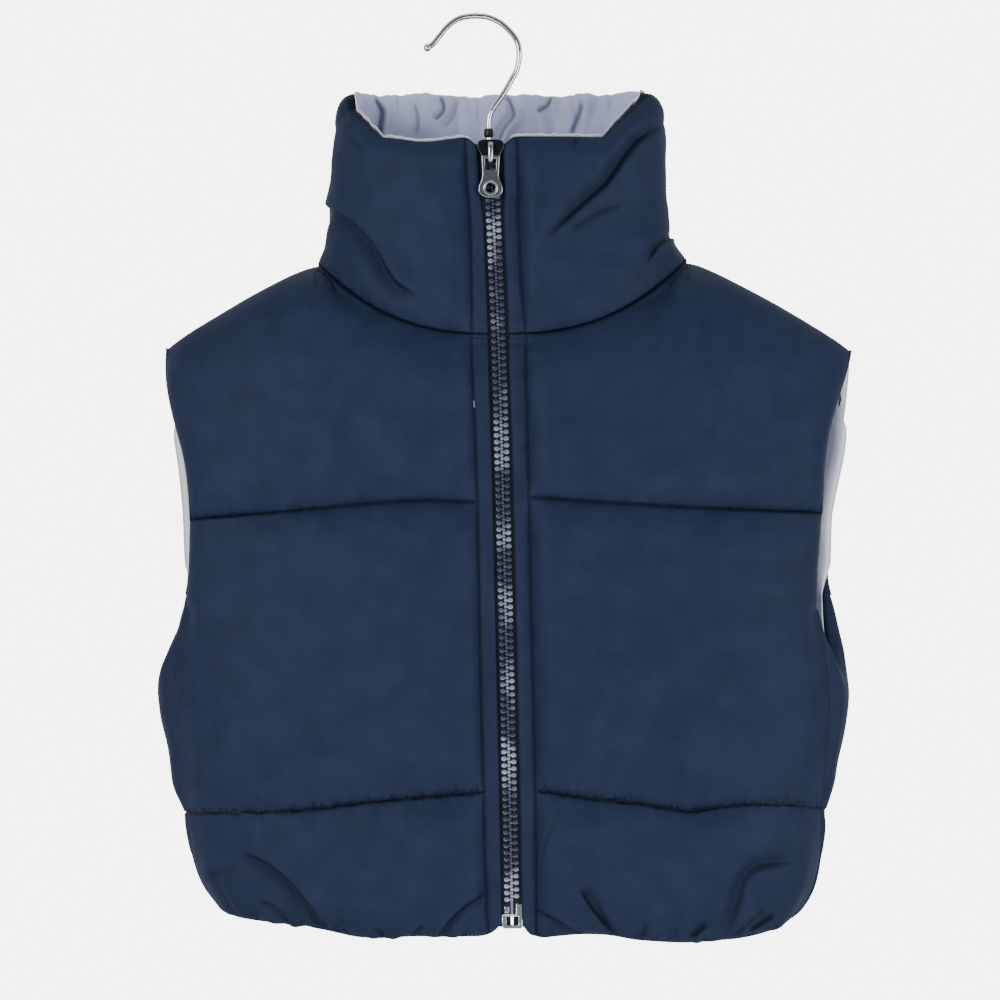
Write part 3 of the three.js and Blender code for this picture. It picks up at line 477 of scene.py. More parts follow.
# A closed wall between an outer and an inner grid of the same size. keep masks whole cells.
def wallMesh(name, outer, inner, material, turn, keep=None, uv=None, marks=None):
    columns, rows = outer.shape[:2]
    count = columns * rows
    index = np.arange(count).reshape(columns, rows)
    cell = np.ones((columns - 1, rows - 1), bool) if keep is None else keep
    a, b = index[:-1, :-1][cell], index[1:, :-1][cell]
    c, d = index[1:, 1:][cell], index[:-1, 1:][cell]
    front = np.stack([a, b, c, d], -1)
    back = np.stack([a, d, c, b], -1) + count
    padded = np.zeros((columns + 1, rows + 1), bool)
    padded[1:-1, 1:-1] = cell
    rims = []
    ends = (
        (index[:-1, :-1], index[1:, :-1], ~padded[1:-1, :-2]),
        (index[1:, :-1], index[1:, 1:], ~padded[2:, 1:-1]),
        (index[1:, 1:], index[:-1, 1:], ~padded[1:-1, 2:]),
        (index[:-1, 1:], index[:-1, :-1], ~padded[:-2, 1:-1]),
    )
    for first, second, free in ends:
        at = cell & free
        p, q = first[at], second[at]
        rims.append(np.stack([q, p, p + count, q + count], -1))
    faces = np.concatenate([front, back, *rims])
    if turn:
        faces = faces[:, ::-1]
    points = np.concatenate([outer.reshape(-1, 3), inner.reshape(-1, 3)])
    used = np.unique(faces)
    renumber = np.zeros(2 * count, int)
    renumber[used] = np.arange(len(used))
    both = None if uv is None else np.concatenate([uv.reshape(-1, 2)] * 2)[used]
    marked = {
        mark: np.concatenate([values.ravel()] * 2)[used] for mark, values in (marks or {}).items()
    }
    return addMesh(name, points[used], renumber[faces], material, both, marks=marked)


# Procedural cloth: patches, weave and fine crumple over a base colour. Three marks on the points
# steer it:
# shade mixes in the look's fold colour as painted shade at seams, creases and stitch lines; rim
# mixes in the look's rim colour as painted light on turned edges and where the lining lies in
# shadow; and gather adds short strokes of painted shade and bumped puckers along the seams.
def clothMaterial(name, look):
    material = bpy.data.materials.new(name)
    material.use_nodes = True
    nodes, links = material.node_tree.nodes, material.node_tree.links
    shader = nodes["Principled BSDF"]
    place = nodes.new("ShaderNodeTexCoord")

    def noise(size, detail, stretch=(1, 1, 1), source="Object"):
        mapping = nodes.new("ShaderNodeMapping")
        mapping.inputs["Scale"].default_value = stretch
        links.new(place.outputs[source], mapping.inputs["Vector"])
        texture = nodes.new("ShaderNodeTexNoise")
        texture.inputs["Scale"].default_value = size
        texture.inputs["Detail"].default_value = detail
        links.new(mapping.outputs["Vector"], texture.inputs["Vector"])
        return texture.outputs["Fac"]

    def mark(title):
        attribute = nodes.new("ShaderNodeAttribute")
        attribute.attribute_name = title
        return attribute.outputs["Fac"]

    def combined(operation, first, second, third=None):
        node = nodes.new("ShaderNodeMath")
        node.operation = operation
        for slot, value in enumerate((first, second, third)):
            if isinstance(value, (int, float)):
                node.inputs[slot].default_value = value
            elif value is not None:
                links.new(value, node.inputs[slot])
        return node.outputs["Value"]

    def towards(colour, factor, base):
        node = nodes.new("ShaderNodeMix")
        node.data_type = "RGBA"
        node.inputs["B"].default_value = (*colour, 1)
        links.new(factor, node.inputs["Factor"])
        links.new(base, node.inputs["A"])
        return node.outputs["Result"]

    def bumped(height, strength, distance, normal):
        bump = nodes.new("ShaderNodeBump")
        bump.inputs["Strength"].default_value = strength
        bump.inputs["Distance"].default_value = distance
        links.new(height, bump.inputs["Height"])
        if normal is not None:
            links.new(normal, bump.inputs["Normal"])
        return bump.outputs["Normal"]

    patches = nodes.new("ShaderNodeValToRGB")
    patches.color_ramp.elements[0].position = 0.3
    patches.color_ramp.elements[0].color = (*look["dark"], 1)
    patches.color_ramp.elements[1].position = 0.7
    patches.color_ramp.elements[1].color = (*look["light"], 1)
    links.new(noise(look["patch"], 3), patches.inputs["Fac"])
    shade = mark("shade")
    # painted shade: short dark strokes of cut noise where the gather mark is high, along the seams
    if "strokes" in look:
        size, low, high = look["strokes"]
        fine = noise(size, 2, (1, 0.3, 1), "UV")
        cut = nodes.new("ShaderNodeMapRange")
        cut.inputs["From Min"].default_value = low
        cut.inputs["From Max"].default_value = high
        cut.inputs["To Max"].default_value = 0.85
        links.new(combined("MULTIPLY_ADD", mark("gather"), 0.24, fine), cut.inputs["Value"])
        shade = combined("MAXIMUM", cut.outputs["Result"], shade)
    # painted shade: the shade mark mixes the look's fold colour into the base colour
    colour = towards(look["fold"], shade, patches.outputs["Color"])
    # painted light: the rim mark mixes the look's pale rim colour in
    if "rim" in look:
        colour = towards(look["rim"], mark("rim"), colour)
    links.new(colour, shader.inputs["Base Color"])
    shader.inputs["Roughness"].default_value = look["roughness"]
    shader.inputs["Sheen Weight"].default_value = look["sheen"]
    shader.inputs["Sheen Roughness"].default_value = 0.4
    shader.inputs["Sheen Tint"].default_value = (*look["sheenTint"], 1)
    shader.inputs["Specular IOR Level"].default_value = look["specular"]
    normal = None
    for size, detail, stretch, strength, distance in look["bumps"]:
        normal = bumped(noise(size, detail, stretch), strength, distance, normal)
    if "gather" in look:
        size, distance = look["gather"]
        folds = noise(size, 3, (1, 0.22, 1), "UV")
        normal = bumped(combined("MULTIPLY", folds, mark("gather")), 1, distance, normal)
    links.new(normal, shader.inputs["Normal"])
    materials[name] = material


# A hard finish: one colour, or patches of a painted highlight colour over it, with faint wear in
# its roughness and a fine grain
def hardMaterial(name, look):
    material = bpy.data.materials.new(name)
    material.use_nodes = True
    nodes, links = material.node_tree.nodes, material.node_tree.links
    shader = nodes["Principled BSDF"]
    shader.inputs["Base Color"].default_value = (*look["colour"], 1)
    shader.inputs["Metallic"].default_value = look["metallic"]
    place = nodes.new("ShaderNodeTexCoord")
    # painted highlight: noise patches shift the base colour towards a lighter one
    if "paintedHighlight" in look:
        patches = nodes.new("ShaderNodeTexNoise")
        patches.inputs["Scale"].default_value = look["patch"]
        patches.inputs["Detail"].default_value = 1
        links.new(place.outputs["Object"], patches.inputs["Vector"])
        tones = nodes.new("ShaderNodeValToRGB")
        tones.color_ramp.elements[0].position = 0.47
        tones.color_ramp.elements[0].color = (*look["colour"], 1)
        tones.color_ramp.elements[1].position = 0.6
        tones.color_ramp.elements[1].color = (*look["paintedHighlight"], 1)
        links.new(patches.outputs["Fac"], tones.inputs["Fac"])
        links.new(tones.outputs["Color"], shader.inputs["Base Color"])
    texture = nodes.new("ShaderNodeTexNoise")
    texture.inputs["Scale"].default_value = look["grain"]
    texture.inputs["Detail"].default_value = 4
    links.new(place.outputs["Object"], texture.inputs["Vector"])
    spread = nodes.new("ShaderNodeMapRange")
    spread.inputs["To Min"].default_value = look["roughness"] * 0.8
    spread.inputs["To Max"].default_value = look["roughness"] * 1.25
    links.new(texture.outputs["Fac"], spread.inputs["Value"])
    links.new(spread.outputs["Result"], shader.inputs["Roughness"])
    bump = nodes.new("ShaderNodeBump")
    bump.inputs["Strength"].default_value = look["bump"]
    bump.inputs["Distance"].default_value = 0.0002
    links.new(texture.outputs["Fac"], bump.inputs["Height"])
    links.new(bump.outputs["Normal"], shader.inputs["Normal"])
    materials[name] = material


# fold is the colour of painted shade in seams and creases, rim the colour of painted light on the
# lining;
# gather: noise size and height in metres; strokes: noise size and the values it is cut between, for
# strokes of painted shade; bumps: noise size, detail, stretch, strength, height in metres
shellLook = {
    "dark": (0.0107, 0.0198, 0.049), "light": (0.0152, 0.0265, 0.062), "patch": 60,
    "fold": (0.0018, 0.003, 0.009),
    "roughness": 0.58, "sheen": 0.05, "sheenTint": (0.45, 0.6, 1.0), "specular": 0.12,
    "gather": (34, 0.0045), "strokes": (85, 0.74, 0.86),
    "bumps": [
        (22, 3, (1, 1, 0.7), 0.5, 0.004),
        (80, 4, (1, 1, 1), 0.3, 0.0014),
        (1500, 1, (1, 1, 0.25), 0.12, 0.00025),
        (1500, 1, (0.25, 0.25, 1), 0.12, 0.00025),
    ],
}
liningLook = {
    "dark": (0.47, 0.51, 0.73), "light": (0.53, 0.57, 0.8), "patch": 14,
    "fold": (0.05, 0.06, 0.12), "rim": (0.87, 0.9, 1.0),
    "roughness": 0.5, "sheen": 0.05, "sheenTint": (0.8, 0.85, 1.0), "specular": 0.25,
    "bumps": [
        (34, 3, (1, 1, 0.7), 0.4, 0.004),
        (120, 4, (1, 1, 1), 0.25, 0.001),
        (1500, 1, (1, 1, 0.25), 0.12, 0.00025),
    ],
}
tapeLook = {
    "dark": (0.004, 0.006, 0.015), "light": (0.006, 0.009, 0.022), "patch": 60,
    "fold": (0.002, 0.003, 0.008),
    "roughness": 0.8, "sheen": 0.3, "sheenTint": (0.5, 0.6, 1.0), "specular": 0.3,
    "bumps": [(900, 2, (1, 1, 3), 0.5, 0.0004), (2200, 1, (1, 1, 1), 0.3, 0.0002)],
}
clothMaterial("shell", shellLook)
clothMaterial("lining", liningLook)
clothMaterial("tape", tapeLook)
hardLooks = {
    # painted highlight: lighter patches stand in for light that falls on some stretches of the rows
    # of teeth and not on others
    "teeth": {"colour": (0.045, 0.055, 0.09), "paintedHighlight": (0.3, 0.34, 0.43), "patch": 34,
              "metallic": 0.3, "roughness": 0.13, "grain": 900, "bump": 0.15},
    # painted light: a much lighter copy of the slider's dark metal, so the arch and the tab show
    # bright
    "hardware": {"colour": (0.44, 0.47, 0.55),
                 "metallic": 1.0, "roughness": 0.22, "grain": 500, "bump": 0.02},
    # the slider's plates and post, in the metal's own dark colour
    "crown": {"colour": (0.05, 0.055, 0.07),
              "metallic": 1.0, "roughness": 0.25, "grain": 500, "bump": 0.02},
    "zipEnd": {"colour": (0.62, 0.64, 0.7),
               "metallic": 1.0, "roughness": 0.2, "grain": 700, "bump": 0.1},
    "chrome": {"colour": (0.75, 0.75, 0.78),
               "metallic": 1.0, "roughness": 0.09, "grain": 300, "bump": 0.03},
    "hanger": {"colour": (0.006, 0.006, 0.007),
               "metallic": 0.0, "roughness": 0.4, "grain": 400, "bump": 0.1},
    "thread": {"colour": (0.006, 0.009, 0.022),
               "metallic": 0.0, "roughness": 0.7, "grain": 2500, "bump": 0.4},
    "paleThread": {"colour": (0.6, 0.62, 0.68),
                   "metallic": 0.0, "roughness": 0.7, "grain": 2500, "bump": 0.4},
}
for materialName, materialLook in hardLooks.items():
    hardMaterial(materialName, materialLook)


# The fronts
front = {
    "neckShare": 0.515, "stitchShare": 0.05,
    "stripColumns": 10, "innerColumns": 102, "outerColumns": 95,
    "hemRows": 82, "middleRows": 70, "topRows": 58,
    "unevenness": 0.16, "hemGather": 1.9, "quiltPucker": 1.25,
    "sidePinch": 0.3,  # what is left of a seam's pinch at the sides
    "crossStitches": (-192.6, -196.4),  # two rows across the strip, below the neck seam
    "barTack": (-235, -227.5),  # foot and top of the pale bar-tack on the right strip
}
# Creases of each front: line, side of the bank, hollow's depth and width, bank's height and width,
# width of the step between them, share of the line that fades out at each end
frontCreases = {
    rightSide: [
        ([(-137, -497), (-123, -503), (-108, -514), (-97.5, -526), (-90, -536), (-83, -546)],
         1, 5.0, 8.0, 1.7, 8.0, 0.7, 0.12),
        ([(-161, -511), (-150, -508.5), (-137, -506)],
         1, 1.5, 6.0, 0.5, 9.0, 2.4),
        ([(-125.5, -525), (-117.5, -528.6), (-111.5, -534), (-106.5, -541)],
         1, 3.6, 4.0, 1.3, 5.0, 0.7, 0.15),
        ([(-60, -541), (-55, -543), (-54, -549)],
         1, 1.8, 3.0, 0.8, 4.0, 0.7),
        ([(-29, -538), (-34, -543), (-41, -550)],
         -1, 1.8, 3.0, 0.8, 4.0, 0.7),
        ([(7, -521), (-6, -528), (-15.6, -537.6), (-23, -548)],
         -1, 3.4, 4.5, 1.3, 7.0, 0.7, 0.12),
        ([(-78, -543), (-76, -546), (-75, -550)],
         -1, 1.2, 3.0, 0.5, 3.0, 0.8),
    ],
    leftSide: [
        ([(61, -516), (70, -530.4), (77, -540), (84, -549)],
         -1, 3.4, 5.0, 1.2, 6.0, 0.7, 0.15),
        ([(34, -530), (44, -534), (54, -540.5), (68, -549)],
         1, 3.4, 4.0, 1.3, 6.0, 0.7, 0.15),
        ([(138, -539), (133, -543), (127, -549)],
         1, 3.0, 3.5, 1.2, 4.0, 0.7),
        ([(169, -530), (160, -538.6), (151, -548)],
         -1, 3.4, 4.0, 1.3, 5.0, 0.7, 0.15),
        ([(177, -534), (169, -541), (162, -548)],
         1, 2.4, 3.0, 0.9, 4.0, 0.7),
        ([(192, -504), (166, -507), (159, -514), (154.8, -528.6), (147, -549)],
         1, 4.2, 6.5, 1.4, 9.0, 1.6),
        ([(51, -470), (43, -490), (39, -506)],
         1, 0.3, 1.8, 0.5, 1.4, 0.5),
        ([(190, -466), (191, -476), (189, -488)],
         1, 0.6, 2.0, 0.4, 1.6, 0.5),
        ([(100, -535), (101, -542), (99, -550)],
         1, 1.0, 3.0, 0.4, 3.0, 0.9),
    ],
}


# Shares of a front's columns, from the fold over the stitches to the edge, and of its rows, one
# unit for each channel
def frontColumnsRows():
    inner = mix(front["stitchShare"], front["neckShare"], crowded(front["innerColumns"], 0.5))
    outer = mix(front["neckShare"], 1, crowded(front["outerColumns"], 0.5))
    strip = np.linspace(0, front["stitchShare"], front["stripColumns"])
    u = np.concatenate([strip[:-1], inner[:-1], outer])
    spans = [(0, front["hemRows"]), (1, front["middleRows"]), (2, front["topRows"])]
    v = np.concatenate([k + crowded(count)[:-1] for k, count in spans] + [[3.0]])
    return u, v


# Half width of the gap between the strips' folds, wider at the slider
def foldEdgeAt(z):
    return mix(zipper["foldEdge"], zipper["foldAtSlider"], smooth((z + 122) / 24))


# The fold as a share of the neck edge's half width
def foldShareOf(side):
    return zipper["foldEdge"] / (side * (shoulder[side]["neckX"] - zipX(landmark["neckLow"])))


# Wall of the strip beside the zip, a soft tube between its fold and its stitches
def stripWallAt(u):
    share = np.clip(u / front["stitchShare"], 0, 1)
    return cloth["stripWall"] + cloth["stripRound"] * np.sin(math.pi * share) ** 0.8


# A front's top edge: the neck edge up to the neck point, then the shoulder seam
def frontTop(side, u):
    neckShare = front["neckShare"]
    fold = foldShareOf(side)
    neck = neckPoint(side, np.clip(mix(fold, 1, u / neckShare), 0, 1), -1)
    arm = shoulderPoint(side, np.clip((u - neckShare) / (1 - neckShare), 0, 1), -1)
    return [np.where(u <= neckShare, a, b) for a, b in zip(neck, arm)]


# Heights of a grid between its seam lines: the line below, the line above, the height itself, the
# channel's number and the share of the way up through it
def channelHeight(v, lines):
    k = np.clip(np.floor(v).astype(int), 0, len(lines) - 2)
    t = v - k
    stack = np.stack([np.broadcast_to(line, v.shape) for line in lines])
    low = np.take_along_axis(stack, k[None], 0)[0]
    high = np.take_along_axis(stack, k[None] + 1, 0)[0]
    return low, high, mix(low, high, t), k, t


# Sum of all creases of a table; each adds its painted shade to shade
def creaseField(x, z, shade, rows):
    return sum(crease(x, z, shade, *row) for row in rows)


# How much the cloth gathers: at the hem, and at each quilting line more above it than below it
def gatherAt(z, fromHem, seams):
    gather = bell(fromHem, 7) * 0.8
    for seam, size in seams:
        away = z - seam
        gather += size * np.where(away > 0, bell(away, 6), 0.5 * bell(away, 3.5))
    return gather


# Height of the shoulder line at an x, carried on straight past the neck point
def shoulderLine(side, x):
    corner = shoulder[side]
    reach = abs(corner["tipX"] - corner["neckX"])
    out = side * (x - corner["neckX"])
    t = np.clip(out / reach, 0, 1)
    fall = (corner["tipZ"] - corner["neckZ"]) / reach
    return corner["neckZ"] + fall * out + shoulderCrown * 4 * t * (1 - t)


# Height of the neck edge at an x: a power of the share across, carried on past the neck point at
# a slope
def neckLine(side, x, low, power, slope):
    corner = shoulder[side]
    width = abs(corner["neckX"] - zipX(landmark["neckLow"]))
    out = side * (x - corner["neckX"])
    share = np.clip(1 + out / width, 0, 1)
    return mix(low, corner["neckZ"], share ** power) + np.maximum(out, 0) * slope


# The neck edge's height at an x on the fronts (-1) or the back (1)
def neckLineOf(side, x, facing):
    if facing < 0:
        return neckLine(side, x, landmark["neckLow"], 2.6, 1.05)
    return neckLine(side, x, landmark["backNeck"], 2.0, 0.05)


# Depth of a panel's inner surface: the body's oval, rounded over towards the shoulder line and
# drawn to the neck's edge beside the opening
def panelDepth(side, x, z, body, topY, facing):
    rounded = body * roundOver(shoulderLine(side, x) - z) + facing * cloth["seamGap"] / 2
    toNeck = neckLineOf(side, x, facing) - z
    return mix(topY, rounded, smooth(toNeck / (30 if facing < 0 else 12)))


# Filling's share of its full height below the neck and shoulder seams, which meet in a soft ridge
def underTopSeams(side, x, z, reach, facing):
    belowShoulder = np.maximum(shoulderLine(side, x) - z, 0)
    belowNeck = np.maximum(neckLineOf(side, x, facing) - z, 0)
    return fillRise(belowShoulder, reach) * fillRise(belowNeck * 0.85, reach)


# One front and its lining. The inner surface is the body's oval; the wall grows from the seams to
# the channels' middles by fillRise, and puckers, gathers and creases are added to it along the
# surface's normal.
def frontPieces(side):
    name = "right" if side == rightSide else "left"
    seed = 11 if side == rightSide else 37
    u, v = frontColumnsRows()
    top = frontTop(side, u)
    u2, v2 = np.meshgrid(u, v, indexing="ij")
    lines = [hemLine(side, u), quiltLine(side, u, False), quiltLine(side, u, True), top[2]]
    lines = [line[:, None] for line in lines]
    low, high, z, k, t = channelHeight(v2, lines)
    sideZ = channelHeight(v[None, :], [line[-1:] for line in lines])[2]
    foldZ = channelHeight(v[None, :], [line[:1] for line in lines])[2]
    foldX = zipX(foldZ) + side * zipper["foldEdge"]
    sideX = frontEdgeX(side, sideZ) - side * cloth["seamGap"] / 2
    x = mix(foldX, sideX, u2)
    x = mix(x, top[0][:, None], np.where(k == 2, t ** 3, 0))
    share = side * (x - zipX(z)) / halfWidth(side, z)
    body = -read(bodyTable, z, bodyColumn["front"]) * oval(share)
    y = panelDepth(side, x, z, body, top[1][:, None], -1)
    y = softened(y, x, shoulder[side]["neckX"], 7, 30, smooth((lines[3] - z - 1) / 8))
    y[:, -1] = top[1]
    inner = np.stack([x, y, z], -1)
    normal = gridNormals(inner, side)
    atNeck = u <= front["neckShare"]
    neckShares = np.clip(mix(foldShareOf(side), 1, u / front["neckShare"]), 0, 1)
    normal[atNeck, -1] = neckOut(side, neckShares[atNeck], -1)

    width = side * (frontEdgeX(side, z) - zipX(z))
    fromStitch = (u2 - front["stitchShare"]) * width
    fromEdge = (1 - u2) * width
    fromHem = z - lines[0]
    inStrip = u2 < front["stitchShare"] - 1e-6
    nearSeam = (1 - smooth(fromEdge / 12)) * smooth((landmark["seamTop"] + 6 - z) / 12)
    normal = blended(normal, seamNormalAt(side, z), nearSeam)

    # filling's share of its full height
    reach = cloth["seamReach"]
    across = fillRise(np.maximum(fromStitch, 0), cloth["stitchReach"])
    atSide = mix(0.55, 1, fillRise(fromEdge, 14))
    freeShare = smooth((z - landmark["seamTop"] + 26) / 26)
    edge = mix(atSide, fillRise(fromEdge, cloth["edgeReach"]), freeShare)
    outward = smooth((u2 - 0.55) / 0.4)
    pinch = mix(1, front["sidePinch"], outward) * np.where(k < 2, 1, 0)
    pinchBelow = np.where(k == 0, 1, np.maximum(pinch, np.where(k == 2, 1, 0)))
    below = 1 - (1 - fillRise(z - low, reach)) * pinchBelow
    above = 1 - (1 - fillRise(high - z, reach)) * pinch
    above = np.where(k == 2, underTopSeams(side, x, z, reach, -1), above)
    hemThin = 1 - hemSideThin[side] * outward * thinningAt(z, lines[1])
    filling = across * edge * below * above * hemThin
    freeEdge = (u2 > 0.999) & (z > landmark["seamTop"])
    base = np.where(freeEdge, cloth["edgeWall"], cloth["seamWall"])
    base = np.where((v2 > 2.999) & atNeck[:, None], neckWallAt(neckShares[:, None]), base)
    uneven = waves(x, z, seed, 110) * front["unevenness"]
    wall = base + (cloth["padWall"] - base) * filling * (1 + uneven * filling)
    wall += 0.35 * waves(x, z, seed + 1, 34) * filling
    wall = np.where(inStrip, stripWallAt(u2), wall)

    # puckers along the strip, the quilting lines and the hem
    ripple = puckers(z - landmark["hem"], np.abs(fromStitch), seed + 2, 420, 9, 0.5, 6, 0.8)
    wall += np.where(u2 > 0.002, ripple, 0)
    along = side * (x - x[0:1])
    length = abs(float(x[-1, 0] - x[0, 0])) + 60
    for line, number, depth in ((1, 3, 1.0), (2, 6, 0.55)):
        away = z - lines[line]
        for sign, extra in ((1, 0), (-1, 10)):
            start = seed + number + extra
            strength = front["quiltPucker"] * depth * (1.0 if sign > 0 else 0.6)
            fine = puckers(along, np.abs(away), start, length, 6.5, strength, 5)
            long = puckers(along, np.abs(away), start + 1, length, 34, strength * 0.8, 17)
            wall += np.where((away * sign >= 0) & ~inStrip, fine + long, 0)
    gathers = puckers(along, fromHem, seed + 30, length, 11, front["hemGather"] * 0.6, 9)
    gathers += puckers(along, fromHem, seed + 31, length, 30, front["hemGather"], 22, 0.6)
    wall += np.where(inStrip, 0, gathers * smooth(fromStitch / 12))
    # the creases also paint their shade into shade
    shade = np.zeros_like(x)
    wall += creaseField(x, z, shade, frontCreases[side]) * np.where(inStrip, 0, 1)
    wall = mix(np.maximum(wall, cloth["leastWall"]), seamWallAt(side, z), nearSeam)

    # dark lines painted into the colour: along the strip's stitches, thread and painted shade of
    # the pinch; two rows of stitches across the strip; painted shade in the pinched quilting lines
    # and along the neck seam
    fromStrip = np.abs(u2 - front["stitchShare"]) * width
    shade = np.maximum(shade * ~inStrip, 0.8 * bell(fromStrip, 0.75))
    wobble = waves(x, 0 * z, seed + 60, 8)
    for line, strength, uneasy in ((1, 0.95, 0.45), (2, 0.8, 0.12)):
        away = z - lines[line] + uneasy * wobble
        shade = np.maximum(shade, strength * bell(away, 0.8) * ~inStrip)
    for place in front["crossStitches"]:
        shade = np.maximum(shade, 0.7 * bell(z - place, 0.55) * inStrip)
    shade = np.maximum(shade, 0.9 * bell(lines[3] - z, 0.9) * atNeck[:, None])

    outer = inner + normal * wall[..., None]
    # the hem's edge wanders a little up and down
    hemX, hemZ = x[:, :1], 0 * z[:, :1]
    wander = 0.8 * waves(hemX, hemZ, seed + 40, 42) + 0.4 * waves(hemX, hemZ, seed + 41, 14)
    outer[..., 2] += (1.2 + wander * smooth(fromEdge / 14)) * bell(fromHem, 14)
    gather = gatherAt(z, fromHem, [(lines[1], 1.0), (lines[2], 0.35)]) * ~inStrip
    uv = np.stack([side * x / 100, z / 100], -1)
    marks = {"gather": gather, "shade": shade}
    turn = side == rightSide
    shell = wallMesh(name + "_front_shell", outer, inner, "shell", turn, uv=uv, marks=marks)
    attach(shell, "vest")
    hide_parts(name + "_front")

    # the lining has every second row and column, and stops short of the strip
    keepColumns = u[::2] >= front["stitchShare"] * 0.8
    liningNormal = normal[::2, ::2][keepColumns]
    liningOuter = (inner[::2, ::2] - normal[::2, ::2] * 0.45)[keepColumns]
    soft = 0.6 * (1 + waves(liningOuter[..., 0], liningOuter[..., 2], seed + 50, 30))
    liningOuter = liningOuter - liningNormal * soft[..., None]
    liningInner = liningOuter - liningNormal * cloth["liningWall"]
    lining = wallMesh(name + "_front_lining_cloth", liningOuter, liningInner, "lining", turn,
                      uv=uv[::2, ::2][keepColumns])
    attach(lining, "vest")
    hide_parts(name + "_front_lining")
    print("front", name, inner.shape)
    return {"inner": inner, "outer": outer, "normal": normal, "u": u, "v": v}


fronts = {side: frontPieces(side) for side in (rightSide, leftSide)}

# The back
back = {
    "neckShare": 0.43, "armShare": 0.775,
    "neckColumns": 44, "shoulderColumns": 46, "underColumns": 35,
    "hemRows": 46, "belowRows": 42, "aboveRows": 24, "topRows": 52,
    "unevenness": 0.14, "hemGather": 1.9, "quiltPucker": 1.1, "sidePinch": 0.28,
}


# The back's top edge: the neck edge, then the shoulder seam
def backTop(side, share):
    neckShare, armShare = back["neckShare"], back["armShare"]
    neck = neckPoint(side, np.clip(share / neckShare, 0, 1), 1)
    arm = shoulderPoint(side, np.clip((share - neckShare) / (armShare - neckShare), 0, 1), 1)
    return [np.where(share <= neckShare, a, b) for a, b in zip(neck, arm)]


# The armhole's foot under the arm: a low arc from the back's edge to the side seam's top
def armholeLine(share):
    t = np.clip((share - back["armShare"]) / (1 - back["armShare"]), 0, 1)
    ends = mix(landmark["armBackEdge"], landmark["seamTop"], t)
    return ends + (landmark["armLowest"] - ends) * np.maximum(np.sin(math.pi * t), 0) ** 0.8


# One half of the back's inner surface: the body's oval, and under the arm its arc round to the side
# seam, as the angle of a superellipse
def backHalf(side):
    neckShare, armShare = back["neckShare"], back["armShare"]
    s = np.concatenate([
        np.linspace(0, neckShare, back["neckColumns"])[:-1],
        mix(neckShare, armShare, crowded(back["shoulderColumns"], 0.5))[:-1],
        mix(armShare, 1, crowded(back["underColumns"], 0.5)),
    ])
    spans = [back["hemRows"], back["belowRows"], back["aboveRows"], back["topRows"]]
    v = np.concatenate([n + crowded(c)[:-1] for n, c in enumerate(spans)] + [[4.0]])
    across = np.minimum(1, s / armShare)
    top = backTop(side, s)
    lines = [backHemLine(side, across), backQuiltLine(side, across, False), armholeLine(s),
             backQuiltLine(side, across, True), top[2]]
    lines = [line[:, None] for line in lines]
    s2, v2 = np.meshgrid(s, v, indexing="ij")
    low, high, z, k, t = channelHeight(v2, lines)
    low = np.where(k == 2, lines[1], low)
    high = np.where(k == 1, lines[3], high)
    half, middle = halfWidth(side, z), zipX(z)
    edgeZ = np.maximum(z[int(np.argmin(np.abs(s - armShare)))], landmark["seamTop"])[None, :]
    edgeShare = side * (armEdgeX("back", side, edgeZ) - zipX(edgeZ)) / halfWidth(side, edgeZ)
    neckHalf = halfWidth(side, landmark["neckLow"])
    neck = side * (shoulder[side]["neckX"] - zipX(landmark["neckLow"])) / neckHalf
    outward = np.clip((s2 - neckShare) / (armShare - neckShare), 0, 1)
    reach = np.where(s2 <= neckShare, neck * s2 / neckShare, mix(neck, edgeShare, outward))
    x = middle + side * half * reach
    x = mix(x, top[0][:, None], np.where(k == 3, t ** 3, 0))
    backDepth = read(bodyTable, z, bodyColumn["back"])
    body = backDepth * oval(np.clip(side * (x - middle) / half, 0, 1))
    y = panelDepth(side, x, z, body, top[1][:, None], 1)
    y = softened(y, x, shoulder[side]["neckX"], 7, 30, smooth((lines[4] - z - 1) / 8))
    y[:, -1] = top[1]
    # under the arm the panel wraps round to the front
    power = cloth["ovalPower"]
    seamShare = np.clip(side * (frontEdgeX(side, z) - middle) / half, 0, 1)
    start = np.arcsin(np.clip(edgeShare, 0, 1) ** (power / 2))
    finish = math.pi - np.arcsin(seamShare ** (power / 2))
    turn = mix(start, finish, np.clip((s2 - armShare) / (1 - armShare), 0, 1))
    depth = np.where(turn < math.pi / 2, backDepth, -read(bodyTable, z, bodyColumn["front"]))
    wrapX = middle + side * half * np.abs(np.sin(turn)) ** (2 / power)
    wrapX = wrapX + np.where(s2 > 0.999, side * cloth["seamGap"] / 2, 0)
    wrapY = depth * np.abs(np.cos(turn)) ** (2 / power)
    under = s2 > armShare + 1e-6
    inner = np.stack([np.where(under, wrapX, x), np.where(under, wrapY, y), z], -1)
    return {"s": s, "s2": s2, "v2": v2, "k": k, "low": low, "high": high, "lines": lines,
            "inner": inner, "under": under}


